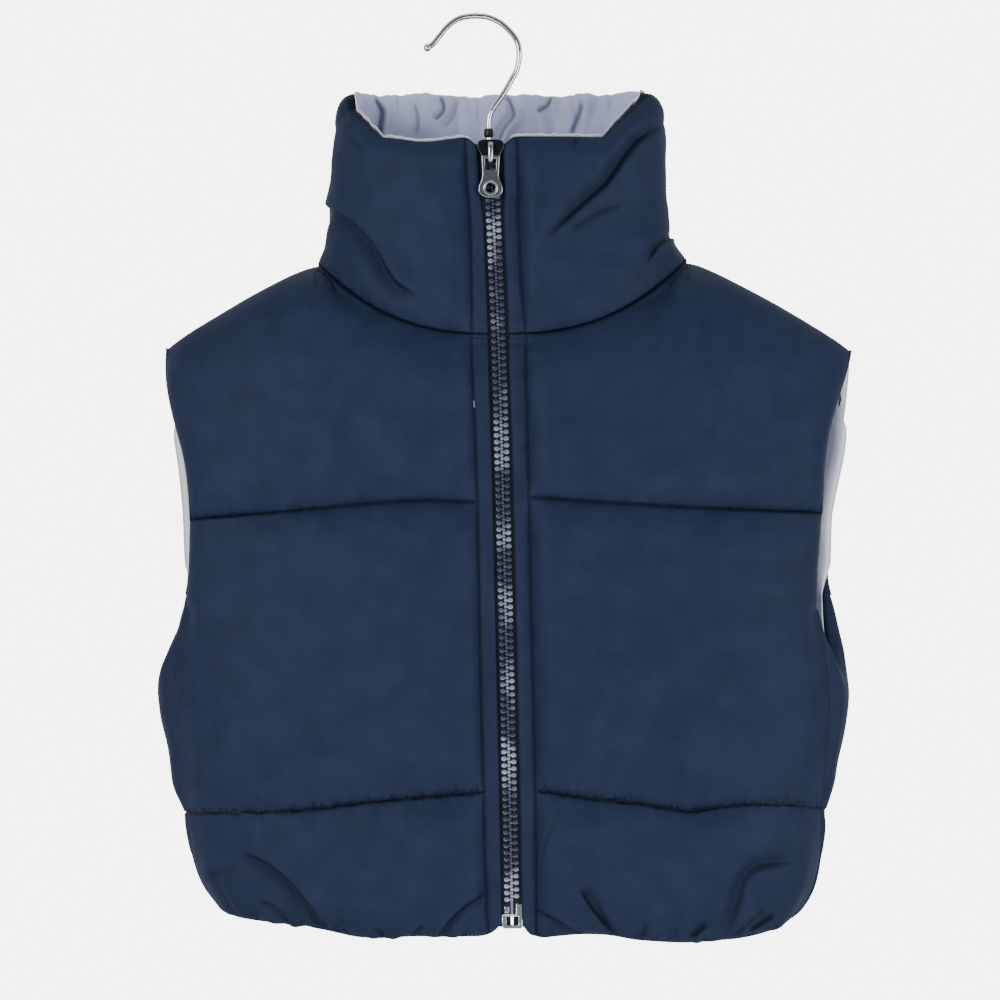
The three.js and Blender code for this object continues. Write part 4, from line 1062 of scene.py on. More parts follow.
# The back from both halves, and its lining, built as the fronts are
def backPieces():
    right, left = backHalf(rightSide), backHalf(leftSide)

    def both(key):
        return np.concatenate([right[key][:0:-1], left[key]])

    inner, s2, v2, k, under = (both(key) for key in ("inner", "s2", "v2", "k", "under"))
    low, high = both("low"), both("high")
    lines = [np.concatenate([a[:0:-1], b]) for a, b in zip(right["lines"], left["lines"])]
    count = len(right["s"])
    side = np.where(np.arange(2 * count - 1) < count - 1, -1.0, 1.0)[:, None]

    def bySide(rightValue, leftValue):
        return np.where(side < 0, rightValue, leftValue)

    x, z = inner[..., 0], inner[..., 2]
    normal = gridNormals(inner, -1)
    atNeck = s2[:, 0] <= back["neckShare"]
    normal[atNeck, -1] = neckOut(side[atNeck, 0], s2[atNeck, 0] / back["neckShare"], 1)
    foot = lines[2]
    width = bySide(halfWidth(rightSide, z), halfWidth(leftSide, z)) * 1.25
    fromSeam = (1 - s2) * width
    fromHem = z - lines[0]
    nearSeam = (1 - smooth(fromSeam / 12)) * under
    rightOut, leftOut = seamNormalAt(rightSide, z), seamNormalAt(leftSide, z)
    normal = blended(normal, np.where(side[:, :, None] < 0, rightOut, leftOut), nearSeam)

    # filling's share of its full height
    reach = cloth["seamReach"]
    sideways = smooth((s2 - 0.55) / 0.3)
    softPinch = mix(1, back["sidePinch"], sideways)
    ended = np.where((k == 0) | (k == 3), 1, softPinch)
    upDown = 1 - (1 - fillRise(z - low, reach)) * ended
    toSeam = mix(0.6, 1, fillRise(fromSeam, 14))
    belowArm = fillRise(np.maximum(foot - z, 0), 20)
    besideArm = fillRise(np.maximum(back["armShare"] - s2, 0) * width, 34, 0.8)
    besideArm = mix(besideArm, 1, smooth((foot - z + 14) / 34))
    toTop = 1 - (1 - fillRise(high - z, reach)) * np.where(k == 3, 1, softPinch)
    leftTop = underTopSeams(leftSide, x, z, reach, 1)
    rightTop = underTopSeams(rightSide, x, z, reach, 1)
    sameSide = bySide(rightTop, leftTop)
    nearNeck = np.abs(bySide(x - shoulder[rightSide]["neckX"], x - shoulder[leftSide]["neckX"]))
    ridge = smooth((z - landmark["backNeck"] + 70) / 30) * (1 - smooth(nearNeck / 70))
    toTop = np.where(k == 3, mix(toTop, np.minimum(sameSide, 1), ridge), toTop)
    sideThin = bySide(hemSideThin[rightSide], hemSideThin[leftSide])
    thinner = sideThin * sideways * thinningAt(z, lines[1])
    toQuilt = 1 - 0.25 * (1 - fillRise(np.abs(z - lines[1]), reach))
    underFill = toSeam * belowArm * np.where(k == 0, toQuilt, 1)
    filling = upDown * np.where(under, underFill, toTop * besideArm) * (1 - thinner)
    onEdge = np.where(under, v2 >= 1.999, (np.abs(s2 - back["armShare"]) < 1e-6) & (z > foot))
    base = np.where(onEdge, cloth["edgeWall"], cloth["seamWall"])
    neckWall = neckWallAt(np.clip(s2 / back["neckShare"], 0, 1))
    base = np.where((v2 > 3.999) & atNeck[:, None], neckWall, base)
    along, length = runAlong(inner)
    uneven = back["unevenness"] * waves(along, z, 91, 120)
    wall = base + (cloth["padWall"] - base) * filling * (1 + uneven * filling)
    wall += 0.35 * waves(along, z, 92, 34) * filling

    # puckers along the quilting lines and the hem
    for line, seed, depth in ((1, 101, 1.0), (3, 111, 0.6)):
        away = z - lines[line]
        for sign, extra in ((1, 0), (-1, 4)):
            strength = back["quiltPucker"] * depth
            fine = puckers(along, np.abs(away), seed + extra, length, 7, strength, 5)
            long = puckers(along, np.abs(away), seed + extra + 1, length, 36, strength, 17)
            wall += np.where(away * sign >= 0, fine + long, 0)
    wall += puckers(along, fromHem, 121, length, 11, back["hemGather"] * 0.6, 9)
    wall += puckers(along, fromHem, 122, length, 30, back["hemGather"], 22, 0.6)
    seamWall = bySide(seamWallAt(rightSide, z), seamWallAt(leftSide, z))
    wall = mix(np.maximum(wall, cloth["leastWall"]), seamWall, nearSeam)
    outer = inner + normal * wall[..., None]
    wander = 0.7 * waves(along, 0 * z, 141, 45) * smooth(fromSeam / 14)
    outer[..., 2] += (1.2 + wander) * bell(fromHem, 14)

    # above the armhole's foot the panel under the arm ends
    firstAbove = back["hemRows"] - 1 + back["belowRows"] - 1
    aboveFoot = (np.arange(v2.shape[1] - 1) >= firstAbove)[None, :]
    keep = ~((under[:-1, :-1] | under[1:, :-1]) & aboveFoot)
    uv = np.stack([along / 100, z / 100], -1)
    # painted shade: dark lines along the pinched quilting lines
    shade = np.zeros_like(z)
    for line, strength in ((1, 0.9), (3, 0.8)):
        shown = np.where((line == 3) & under, 0, 1)
        shade = np.maximum(shade, strength * bell(z - lines[line], 0.8) * shown)
    marks = {"gather": gatherAt(z, fromHem, [(lines[1], 1.0), (lines[3], 0.4)]), "shade": shade}
    shell = wallMesh("back_shell", outer, inner, "shell", True, keep, uv, marks)
    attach(shell, "vest")
    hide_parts("back")

    soft = 0.45 + 0.5 * (1 + waves(along, z, 131, 28))
    soft = soft * np.where(onEdge, 0.3, 1)
    liningOuter = inner - normal * soft[..., None]
    liningInner = liningOuter - normal * cloth["liningWall"]
    # at the armhole the lining turns over the edge and stands a little proud of the shell
    outwards = np.stack([side + 0 * z, 0 * z, 0 * z], -1)
    belowTip = bySide(smooth((-208 - z) / 14), 1)
    aboveEdge = smooth((z - landmark["armBackEdge"]) / 22)
    proud = (aboveEdge * belowTip * (onEdge & ~under))[..., None]
    liningOuter = mix(liningOuter, outer + outwards * 1.2 + normal * 0.4, proud)
    liningInner = mix(liningInner, inner + outwards * 0.8 + np.array([0, -1.3, 0]), proud)
    # painted light: the rim mark lightens the lining inside the armhole, where it lies in shadow,
    # and on its turned-over edge
    inside = np.maximum(back["armShare"] - s2, 0) * width
    rim = 0.95 * bell(inside, 24) * (z > landmark["armLowest"] - 10)
    rim = np.maximum(0.45 * proud[..., 0], rim)
    step = (slice(None, None, 2), slice(None, None, 2))
    underLess = (under[::2][:-1] | under[::2][1:])[:, ::2][:, :-1]
    keepLess = ~(underLess & (v2[step][:-1, :-1] >= 2 - 1e-6))
    lining = wallMesh("back_lining_cloth", liningOuter[step], liningInner[step], "lining", True,
                      keepLess, uv[step], {"rim": rim[step]})
    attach(lining, "vest")
    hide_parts("back_lining")
    print("back", inner.shape)
    return {"outer": outer, "normal": normal, "keep": keep}


backGrid = backPieces()

# The collar
collar = {
    "frontTop": -72.0, "sideTop": -45.3,
    "climb": {rightSide: (0.775, 0.985, 1.0, 0.66), leftSide: (0.706, 0.935, 0.975, 0.8)},
    "zipNotch": 5.2, "notchReach": 6.0, "neckGap": 0.25,
    "backColumns": 96, "rows": 96,
    "unevenness": 0.12, "topWall": 1.6,
}
# Facing (-1 front, 1 back), then the crease as on the fronts
collarCreases = [
    (-1, ([(-87.5, -111), (-79, -113.5), (-69.7, -121), (-56.6, -137.4), (-46.3, -157.8),
           (-39, -164), (-30, -169)], 1, 5.2, 9.0, 2.0, 8.0, 0.6, 0.2)),
    (-1, ([(106, -61), (91, -76), (76.5, -99.6), (61.8, -114), (40, -135)],
          1, 3.6, 6.0, 1.6, 10.0, 0.8, 0.2)),
    (-1, ([(88, -112), (72, -118), (52, -132)], 1, 1.4, 6.0, 0.6, 8.0, 2.0)),
    (-1, ([(121, -133), (112, -135), (104.5, -140), (99, -152)],
          1, 2.4, 4.5, 1.0, 6.0, 0.7, 0.3)),
    (-1, ([(61, -69), (60, -73), (57, -79)], 1, 1.4, 2.5, 0.6, 3.0, 0.6)),
    (-1, ([(-77, -60), (-66, -74), (-60, -84)], 1, 0.9, 4.0, 0.5, 5.0, 1.5)),
    (1, ([(-70, -80), (-30, -100), (10, -130)], 1, 2.2, 6.0, 1.2, 12.0, 1.0)),
    (1, ([(96, -70), (60, -105), (30, -118)], -1, 2.0, 6.0, 1.0, 12.0, 1.0)),
]
# Creases of the collar's lining, deep where it bunches behind the hook
liningCreases = [
    ([(18, -44), (22.5, -51), (23.5, -57), (18, -64), (14, -74)], 1, 5.0, 3.4, 3.0, 5.0, 1.2, 0.1),
    ([(-62, -46), (-57, -54), (-58, -64), (-60, -78)], 1, 3.0, 3.2, 1.8, 5.0, 0.9, 0.12),
    ([(-21, -45), (-19, -53), (-25, -60)], 1, 2.0, 2.8, 1.2, 4.0, 1.0, 0.15),
    ([(66, -46), (63, -56), (57, -70)], -1, 1.3, 2.6, 1.0, 5.0, 0.8),
    ([(47, -45), (44, -51), (37, -55)], 1, 1.8, 2.6, 0.9, 3.0, 1.0, 0.15),
    ([(-38, -47), (-35, -58), (-36, -70)], 1, 1.2, 2.4, 0.8, 4.0, 0.6),
    ([(-10, -46), (-13, -56), (-20, -66)], 1, 1.2, 2.4, 0.8, 4.0, 0.6),
]


# Shares of a quarter's columns across the neck edge; in front they are the front's own columns, and
# at the back, which has no strip, u is set past them all
def collarColumn(side, facing):
    if facing > 0:
        share = np.linspace(0, 1, collar["backColumns"])
        return share, np.full_like(share, 9.0)
    u, _ = frontColumnsRows()
    u = u[u <= front["neckShare"]]
    return np.clip(mix(foldShareOf(side), 1, u / front["neckShare"]), 0, 1), u


# Height of the collar's top: level at the back, and in front lower, climbing to the sides in two
# straight steps, with a notch beside the zip and a slow wave
def collarTopHeight(side, share, facing, x):
    start, bend, end, atBend = collar["climb"][side]
    climb = np.interp(share, [start, bend, end], [0, atBend, 1])
    halfNeck = side * (shoulder[side]["neckX"] - zipX(landmark["neckLow"]))
    fromZip = share * halfNeck - zipper["foldEdge"]
    notch = collar["zipNotch"] * bell(fromZip, collar["notchReach"])
    frontZ = mix(collar["frontTop"], collar["sideTop"], climb) - notch
    frontZ = frontZ - 2.6 * bell(x + 32, 17) + 0.4 * waves(x, 0 * x, 5, 40)
    backZ = collar["sideTop"] + 0.9 * waves(x, 0 * x, 6, 34) + 0.5 * waves(x, 0 * x, 7, 15)
    return np.where(facing > 0, backZ, frontZ)


# A quarter of the collar's inner surface: an oval in plan at every height, narrower towards the top
def collarHalf(side, facing):
    share, u = (values[:, None] for values in collarColumn(side, facing))
    rise = crowded(collar["rows"], 0.7)[None, :]
    baseZ = neckPoint(side, share, facing)[2]
    level = mix(landmark["neckLow"], collar["frontTop"], rise)
    middle = zipX(level)
    half = side * (read(collarTable, rise, 1 if side < 0 else 2) - middle)
    fold = foldShareOf(side)
    fromFold = (share - fold) / (1 - fold)
    across = mix(foldEdgeAt(level) / half, 1, fromFold) if facing < 0 else share + 0 * half
    depth = read(collarTable, rise, 3 if facing < 0 else 4)
    x = middle + side * half * across
    y = facing * (depth * oval(across) + cloth["seamGap"] / 2)
    high = collarTopHeight(side, share, facing, x[:, -1:])
    z = mix(baseZ + collar["neckGap"], high, rise)
    part = {"inner": np.stack([x, y, z], -1)}
    fields = {"share": share, "facing": facing, "side": side, "u": u, "high": high, "low": baseZ,
              "rise": rise}
    part.update({key: values * np.ones_like(x) for key, values in fields.items()})
    return part


# The collar from zip to zip over the back, and its lining, which hangs in folds from the top edge
def collarPieces():
    quarters = ((rightSide, -1), (rightSide, 1), (leftSide, 1), (leftSide, -1))
    cuts = (slice(None), slice(-2, None, -1), slice(1, -1), slice(None, None, -1))
    parts = [collarHalf(side, facing) for side, facing in quarters]

    def joined(key):
        return np.concatenate([part[key][cut] for part, cut in zip(parts, cuts)])

    inner, share, facing, u = (joined(key) for key in ("inner", "share", "facing", "u"))
    high, low, rise, side = (joined(key) for key in ("high", "low", "rise", "side"))
    x, z = inner[..., 0], inner[..., 2]
    normal = gridNormals(inner, -1)
    for n in range(len(inner)):
        normal[n, 0] = neckOut(side[n, 0], share[n, 0], facing[n, 0])
    inStrip = u < front["stitchShare"] - 1e-6
    inFront = u < 1
    fromStitch = np.where(inFront, (u - front["stitchShare"]) * 200, 200.0)
    filling = fillRise(np.maximum(fromStitch, 0), cloth["stitchReach"])
    filling = filling * fillRise(z - low, cloth["seamReach"])
    filling = filling * fillRise(high - z, cloth["edgeReach"])
    filling = filling * (1 - 0.5 * share ** 6 * np.clip(1 - rise / 0.3, 0, 1))
    base = np.where(rise == 1, collar["topWall"], cloth["seamWall"])
    base = np.where(rise == 0, neckWallAt(share), base)
    along, length = runAlong(inner)
    uneven = collar["unevenness"] * waves(along, z, 71, 90)
    wall = base + (cloth["padWall"] - base) * filling * (1 + uneven * filling)
    wall += 0.35 * waves(along, z, 72, 30) * filling
    wall = np.where(inStrip, stripWallAt(u), wall)
    besideStrip = puckers(z - low, np.abs(fromStitch), 73, 130, 9, 0.5, 6, 0.8)
    wall += np.where(inFront, besideStrip, 0)
    atFoot = puckers(along, z - low, 74, length, 9, 0.8, 6)
    wall += np.where(inStrip, 0, atFoot) * smooth((z - low) / 3)
    wall += np.where(inStrip, 0, puckers(along, high - z, 75, length, 12, 0.7, 6))
    # painted shade from the creases, on the faces they belong to
    shade = np.zeros_like(z)
    for face, row in collarCreases:
        part, shown = np.zeros_like(z), (facing == face)
        wall += creaseField(x, z, part, [row]) * shown * ~inStrip
        shade = np.maximum(shade, part * shown * ~inStrip)
    wall = np.maximum(wall, cloth["leastWall"])

    # dark lines painted into the colour: along the strip's stitches, thread and painted shade of
    # the pinch; painted shade along the neck seam and a painted dark line under the front's top
    # edge
    shade = np.maximum(shade, 0.8 * bell(np.where(inFront, np.abs(fromStitch), 99), 0.75))
    shade = np.maximum(shade, 0.9 * bell(z - low, 0.9))
    shade = np.maximum(shade, 0.95 * bell(high - z, 1.0) * (facing < 0))
    outer = inner + normal * wall[..., None]
    uv = np.stack([along / 100, z / 100], -1)
    gather = 0.2 * bell(z - low, 5) + 0.3 * bell(high - z, 5)
    marks = {"gather": gather * ~inStrip, "shade": shade}
    shell = wallMesh("collar_shell", outer, inner, "shell", True, uv=uv, marks=marks)
    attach(shell, "vest")
    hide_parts("collar")

    folds = puckers(along, high - z, 76, length, 13, 1.9, 20, 0.3)
    folds = folds + puckers(along, high - z, 77, length, 7, 0.8, 8, 0.3)
    # the lining's creases paint their shade into liningShade
    liningShade = np.zeros_like(z)
    pleat = creaseField(x, z, liningShade, liningCreases) * (facing > 0)
    relief = np.maximum(0, 2.4 + folds * 1.3 + pleat * 1.2 + 0.7 * waves(along, z, 78, 26))
    inwards = 0.4 + relief * smooth(rise * 6) * smooth((1 - rise) * 12 + 0.2)
    raised = inner.copy()
    raised[..., 2] += mix(1.3, 1.9, facing < 0) * smooth((rise - 0.9) / 0.1)
    raised[..., 2] += 0.35 * folds * smooth((rise - 0.85) / 0.15)
    keepColumns = u[:, 0] >= front["stitchShare"] * 0.5
    # rows close together where the lining shows above the front's edge
    rows = np.concatenate([np.arange(0, 60, 4), np.arange(60, rise.shape[1])])
    cut = np.ix_(keepColumns, rows)
    liningOuter = (raised - normal * inwards[..., None])[cut]
    liningInner = liningOuter - normal[cut] * 0.8
    # painted highlight: the rim mark lightens the lining's top edge, more in front than at the back
    rim = bell(high - z, 1.1) * np.where(facing < 0, 0.95, 0.35)
    liningMarks = {"shade": (liningShade * (facing > 0))[cut], "rim": rim[cut]}
    lining = wallMesh("collar_lining_cloth", liningOuter, liningInner, "lining", True, None,
                      uv[cut], liningMarks)
    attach(lining, "vest")
    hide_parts("collar_lining")
    print("collar", inner.shape)
    return {"inner": inner, "outer": outer, "normal": normal}


collarGrid = collarPieces()


# Line of the inner surface under one strip's stitches, over the front and the collar
def edgeLine(side):
    column = int(np.argmin(np.abs(fronts[side]["u"] - front["stitchShare"])))
    below = fronts[side]["inner"][column]
    count = front["stripColumns"] - 1
    above = collarGrid["inner"][count if side < 0 else -1 - count]
    return np.concatenate([below, above])


edges = {side: edgeLine(side) for side in (rightSide, leftSide)}


# The zip's depth: the innermost cloth beside the zip, at every height
def zipDepth(z):
    return np.maximum(*[np.interp(z, line[:, 2], line[:, 1]) for line in edges.values()])


# One tape: a flat band from beside the zip's middle to under the strip
def tapePiece(side):
    name = "right" if side == rightSide else "left"
    z = np.linspace(zipper["tapeFoot"], collar["frontTop"] - 5, 230)[None, :]
    across = np.linspace(zipper["tapeStart"], zipper["tapeEdge"], 9)[:, None]
    x = zipX(z) + side * across
    y = zipDepth(z) + zipper["tapeBehind"] + 0 * x
    frontFace = np.stack([x, y, z + 0 * x], -1)
    backFace = frontFace + np.array([0, zipper["tapeWall"], 0])
    tape = wallMesh(name + "_tape_cloth", frontFace, backFace, "tape", side == rightSide)
    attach(tape, "vest")
    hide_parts(name + "_zip_tape")


# One moulded tooth: the upper half of its outline, from its base on the tape to its head, and its
# layers from front to back, each with its depth and size
toothHalf = [(4.6, 0.9), (3.9, 1.2), (3.3, 1.48), (2.5, 1.5), (1.8, 1.2), (1.2, 0.66), (0.7, 0.62),
             (0.1, 0.98), (-0.65, 0.88)]
toothOutline = np.array([(4.6, -0.9), *toothHalf, (-1.05, 0),
                         *[(px, -pz) for px, pz in toothHalf[:0:-1]]])
toothLayers = [(-1.6, 0.66), (-1.5, 0.8), (-1.2, 0.94), (-0.5, 1.0), (0.9, 1.0), (1.5, 0.8)]


# Faces of one shape repeated for every row of points
def repeatMesh(points, faces, count):
    steps = np.arange(count)[:, None, None] * points.shape[1]
    return points.reshape(-1, 3), (faces[None] + steps).reshape(-1, faces.shape[1])


# One row of teeth along the zip's middle line, half a pitch apart from the other row
def teethPiece(side):
    name = "right" if side == rightSide else "left"
    offset = 0 if side == rightSide else zipper["toothPitch"] / 2
    z = np.arange(zipper["chainFoot"] + 1.5 + offset, zipper["chainTop"], zipper["toothPitch"])
    centre = toothOutline.mean(0)
    rings = []
    for depth, scale in toothLayers:
        ring = centre + (toothOutline - centre) * scale
        rings.append(np.stack([ring[:, 0], np.full(len(ring), depth), ring[:, 1]], -1))
    ringSize = len(toothOutline)
    caps = np.array([[centre[0], depth, 0] for depth, _ in (toothLayers[0], toothLayers[-1])])
    shape = np.concatenate(rings + [caps])
    faces = []
    for layer in range(len(toothLayers) - 1):
        for n in range(ringSize):
            a, b = layer * ringSize + n, layer * ringSize + (n + 1) % ringSize
            faces += [(a, b, b + ringSize), (a, b + ringSize, a + ringSize)]
    last = (len(toothLayers) - 1) * ringSize
    for n in range(ringSize):
        m = (n + 1) % ringSize
        faces += [(last + ringSize, m, n), (last + ringSize + 1, last + n, last + m)]
    faces = np.array(faces)
    if side > 0:
        faces = faces[:, ::-1]
    lean = ((zipX(z + 1) - zipX(z - 1)) / 2)[:, None]
    out, depth, high = (shape[None, :, n] for n in range(3))
    x = zipX(z)[:, None] + side * out + lean * high
    y = zipDepth(z)[:, None] + zipper["toothBehind"] + depth
    up = z[:, None] + high - lean * side * out
    points, allFaces = repeatMesh(np.stack([x, y, up], -1), faces, len(z))
    teeth = addMesh(name + "_teeth", points, allFaces, "teeth")
    teeth.data.set_sharp_from_angle(angle=math.radians(40))
    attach(teeth, "vest")
    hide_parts(name + "_zip_teeth")
    print("teeth", name, len(z))


for zipSide in (rightSide, leftSide):
    tapePiece(zipSide)
    teethPiece(zipSide)


# A flat plate with round edges from closed outlines (x, z), the first its edge, the others holes
def plateMesh(name, outlines, y, depth, bevel, material):
    curve = bpy.data.curves.new(name + "Outline", "CURVE")
    curve.dimensions = "2D"
    curve.fill_mode = "BOTH"
    curve.extrude = (depth / 2 - bevel) * metre
    curve.bevel_depth = bevel * metre
    curve.bevel_resolution = 2
    curve.offset = -bevel * metre
    for outline in outlines:
        spline = curve.splines.new("POLY")
        spline.points.add(len(outline) - 1)
        flat = np.array([(px * metre, pz * metre, 0, 1) for px, pz in outline], np.float32)
        spline.points.foreach_set("co", flat.ravel())
        spline.use_cyclic_u = True
    holder = bpy.data.objects.new(name + "Outline", curve)
    bpy.context.scene.collection.objects.link(holder)
    shown = holder.evaluated_get(bpy.context.evaluated_depsgraph_get())
    mesh = bpy.data.meshes.new_from_object(shown)
    bpy.data.objects.remove(holder)
    co = np.empty(len(mesh.vertices) * 3, np.float32)
    mesh.vertices.foreach_get("co", co)
    co = co.reshape(-1, 3)
    turned = np.stack([co[:, 0], (y + depth / 2) * metre - co[:, 2], co[:, 1]], -1)
    mesh.vertices.foreach_set("co", turned.astype(np.float32).ravel())
    mesh.materials.clear()
    mesh.materials.append(materials[material])
    mesh.polygons.foreach_set("use_smooth", np.ones(len(mesh.polygons), bool))
    mesh.update()
    mesh.set_sharp_from_angle(angle=math.radians(35))
    obj = bpy.data.objects.new(name, mesh)
    bpy.context.scene.collection.objects.link(obj)
    return obj


# A round or oval bar along a path, with capped ends. radii are the section's half width in the
# path's plane, and across its half width along acrossAxis, the same if it isn't given.
def barMesh(name, path, radii, material, sides, across=None, acrossAxis=(0, 1, 0)):
    path = np.asarray(path, float)
    way = np.gradient(path, axis=0)
    way /= np.linalg.norm(way, axis=1, keepdims=True)
    other = np.broadcast_to(np.array(acrossAxis, float), path.shape)
    out = np.cross(way, other)
    out /= np.linalg.norm(out, axis=1, keepdims=True)
    turn = np.arange(sides) * 2 * math.pi / sides
    radii = np.broadcast_to(radii, len(path))
    across = np.broadcast_to(radii if across is None else across, len(path))
    rings = (path[:, None] + out[:, None] * (radii[:, None] * np.cos(turn))[..., None]
             + other[:, None] * (across[:, None] * np.sin(turn))[..., None])
    points = np.concatenate([rings.reshape(-1, 3), path[:1], path[-1:]])
    ring = np.arange(sides)
    following = (ring + 1) % sides
    steps = np.arange(len(path) - 1)[:, None] * sides
    here, beside = (steps + ring).ravel(), (steps + following).ravel()
    cap, end = np.full(sides, len(path) * sides), (len(path) - 1) * sides
    faces = np.concatenate([
        np.stack([here, beside, beside + sides], -1),
        np.stack([here, beside + sides, here + sides], -1),
        np.stack([cap, following, ring], -1),
        np.stack([cap + 1, end + ring, end + following], -1),
    ])
    obj = addMesh(name, points, faces, material)
    obj.data.set_sharp_from_angle(angle=math.radians(50))
    return obj


# Several objects joined into the first of them
def mergePieces(name, pieces):
    for piece in pieces:
        piece.select_set(True)
    bpy.context.view_layer.objects.active = pieces[0]
    with bpy.context.temp_override(active_object=pieces[0], selected_editable_objects=pieces,
                                   selected_objects=pieces):
        bpy.ops.object.join()
    pieces[0].name = name
    pieces[0].select_set(False)
    return pieces[0]


# Slider, its arch and the tab that hangs from it, as points (x, z) beside the slider's middle, the
# slider's own counted from its top. Outlines are right halves, and the arch's path is (y, z).
slider = {
    "top": -74.0, "length": 15.0, "wall": 1.3, "clearance": 0.7, "chain": 2.0,
    "outline": [(4.6, -15), (5.6, -13.5), (5.8, -9), (7.9, -5), (8.0, -3), (7.0, -0.8), (4.6, 0)],
    "post": [(-2, -4.6), (2, -4.6), (2, -0.4), (-2, -0.4)],
    "arch": [(0.6, -76.0), (-2.6, -76.3), (-3.9, -78.6), (-3.9, -85.0), (-2.6, -87.2),
             (0.6, -87.6)],
}
tab = {
    "pinZ": -84.4, "pinHalf": 4.6, "wall": 1.8, "ringZ": -102.9, "hole": 3.0, "rim": 4.1,
    "outline": [(5.4, -83.6), (5.3, -88), (5.0, -92.5), (4.9, -95.5), (5.6, -98.4), (6.8, -101.2),
                (7.2, -103.6), (6.7, -106), (4.6, -107.8), (2.2, -108.5), (0, -108.7)],
    "window": [(-3.3, -92.2), (3.3, -92.2), (3.3, -85.3), (-3.3, -85.3)],
}
sliderX = float(zipX(slider["top"] - slider["length"] / 2))
sliderDepths = zipDepth(np.array([slider["top"], slider["top"] - slider["length"]]))
plateFront = (float(sliderDepths.min()) - cloth["stripWall"] - slider["clearance"]
              - slider["wall"])
plateBehind = float(sliderDepths.max()) + slider["clearance"] + slider["chain"]
tabY = plateFront - 1.7


# Points beside the slider's middle, in place
def besideMiddle(points, top=0.0):
    return [(sliderX + px, top + pz) for px, pz in points]


# The mirror image of a half outline, which carries on from its end
def mirrorOf(half):
    return [(-px, pz) for px, pz in half[::-1]]


# Points of a circle round the tab's ring hole
def ringPoints(radius, turns):
    return [(sliderX + radius * math.cos(a), tab["ringZ"] + radius * math.sin(a)) for a in turns]


# Two plates, a post between them and the arch in front
def sliderPieces():
    edge = slider["outline"]
    outline = besideMiddle([*edge, *mirrorOf(edge)], slider["top"])
    plates = [plateMesh("sliderPlate", [outline], y, slider["wall"], 0.45, "crown")
              for y in (plateFront, plateBehind)]
    post = plateMesh("sliderPost", [besideMiddle(slider["post"], slider["top"])],
                     plateFront + 0.9, plateBehind - plateFront - 0.6, 0.3, "crown")
    path = curveThrough([(sliderX, plateFront + py, pz) for py, pz in slider["arch"]], 40)
    # the arch in the lighter, painted-light copy of the slider's metal
    arch = barMesh("sliderArch", path, 0.62, "hardware", 14, 1.5, (1, 0, 0))
    body = mergePieces("slider_body", [*plates, post, arch])
    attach(body, "vest")
    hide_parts("zip_slider")


# A plate with a window, a hole with a raised ring, and the pin that turns on the arch
def pullTabPiece():
    edge = curveThrough(tab["outline"], 36)
    outline = besideMiddle([*edge, *mirrorOf(edge[:-1])][::-1])
    window = besideMiddle(tab["window"])
    hole = ringPoints(tab["hole"], np.arange(28) * 2 * math.pi / 28)
    plate = plateMesh("tabPlate", [outline, window, hole], tabY - tab["wall"] / 2, tab["wall"], 0.4,
                      "hardware")
    circle = ringPoints(tab["rim"], np.linspace(0, 2 * math.pi, 41))
    rim = barMesh("tabRim", [(px, tabY - 0.75, pz) for px, pz in circle], 0.5, "hardware", 8, 0.45)
    ends = (-tab["pinHalf"], 0, tab["pinHalf"])
    axis = [(sliderX + px, tabY, tab["pinZ"]) for px in ends]
    pin = barMesh("tabPin", axis, 0.75, "hardware", 14)
    body = mergePieces("pull_tab", [plate, rim, pin])
    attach(body, "pull")
    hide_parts("zip_pull_tab")


sliderPieces()
pullTabPiece()

# The zip's foot: the box and the pin that sits in it, as outlines (x, z) beside the zip's middle
zipEnd = {
    "box": [(-6.2, -535), (-6.2, -542.2), (-5.2, -543.5), (5.2, -543.5), (6.2, -542.2),
            (6.2, -528.5), (2.2, -528.5), (2.2, -535)],
    "window": [(-3.4, -541.4), (3.6, -541.4), (3.6, -536.4), (-3.4, -536.4)],
    "pin": [(-4.6, -534.5), (-1.8, -534.5), (-1.8, -528.6), (-4.6, -528.6)],
}


# A box with a window, and a pin, both flat plates on the teeth's level
def zipEndPieces():
    boxX = float(zipX(-540))
    y = float(zipDepth(-535)) + zipper["toothBehind"]
    boxEdge, window, pinEdge = ([(boxX + px, pz) for px, pz in zipEnd[part]]
                                for part in ("box", "window", "pin"))
    box = plateMesh("zip_foot_box", [boxEdge, window], y - 1.9, 3.8, 0.5, "zipEnd")
    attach(box, "vest")
    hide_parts("zip_box")
    pin = plateMesh("zip_foot_pin", [pinEdge], y - 1.5, 3.0, 0.4, "zipEnd")
    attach(pin, "vest")
    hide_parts("zip_pin")


zipEndPieces()

# Hanger: the hook's path (x, z), from its ball end down the stem to the hanger's neck
hanger = {
    "wire": 1.75, "ball": 2.4, "stemX": 8.2, "armTop": -103.5,
    "armHeight": 8.5, "armWidth": 6.0, "armGap": 0.6, "ends": {rightSide: -168.0, leftSide: 208.0},
    "hook": [(-28.6, -17.2), (-25.4, -15.2), (-21.8, -10.8), (-16.0, -4.0), (-9.8, 0.2),
             (-2.4, 1.75), (2.6, 1.75), (8.6, 0.9), (15.4, -2.4), (21.0, -7.4), (24.8, -12.6),
             (26.4, -18.0), (26.2, -25.4), (24.6, -31.6), (21.9, -36.6), (17.2, -44.6),
             (11.6, -52.6), (8.9, -57.6), (8.2, -62.0), (8.2, -72.0), (8.2, -97.6)],
    "sleeve": [1.9, 2.6, 2.75, 2.75, 2.75, 2.75, 2.6, 1.9], "sleeveSpan": (-71.2, -65.6),
    "neck": (5.5, 4.1), "neckSpan": (-112, -98.2),
}


# An upright path on the hook's stem
def stemPath(span, count):
    return np.column_stack([np.full(count, hanger["stemX"]), np.zeros(count),
                            np.linspace(*span, count)])


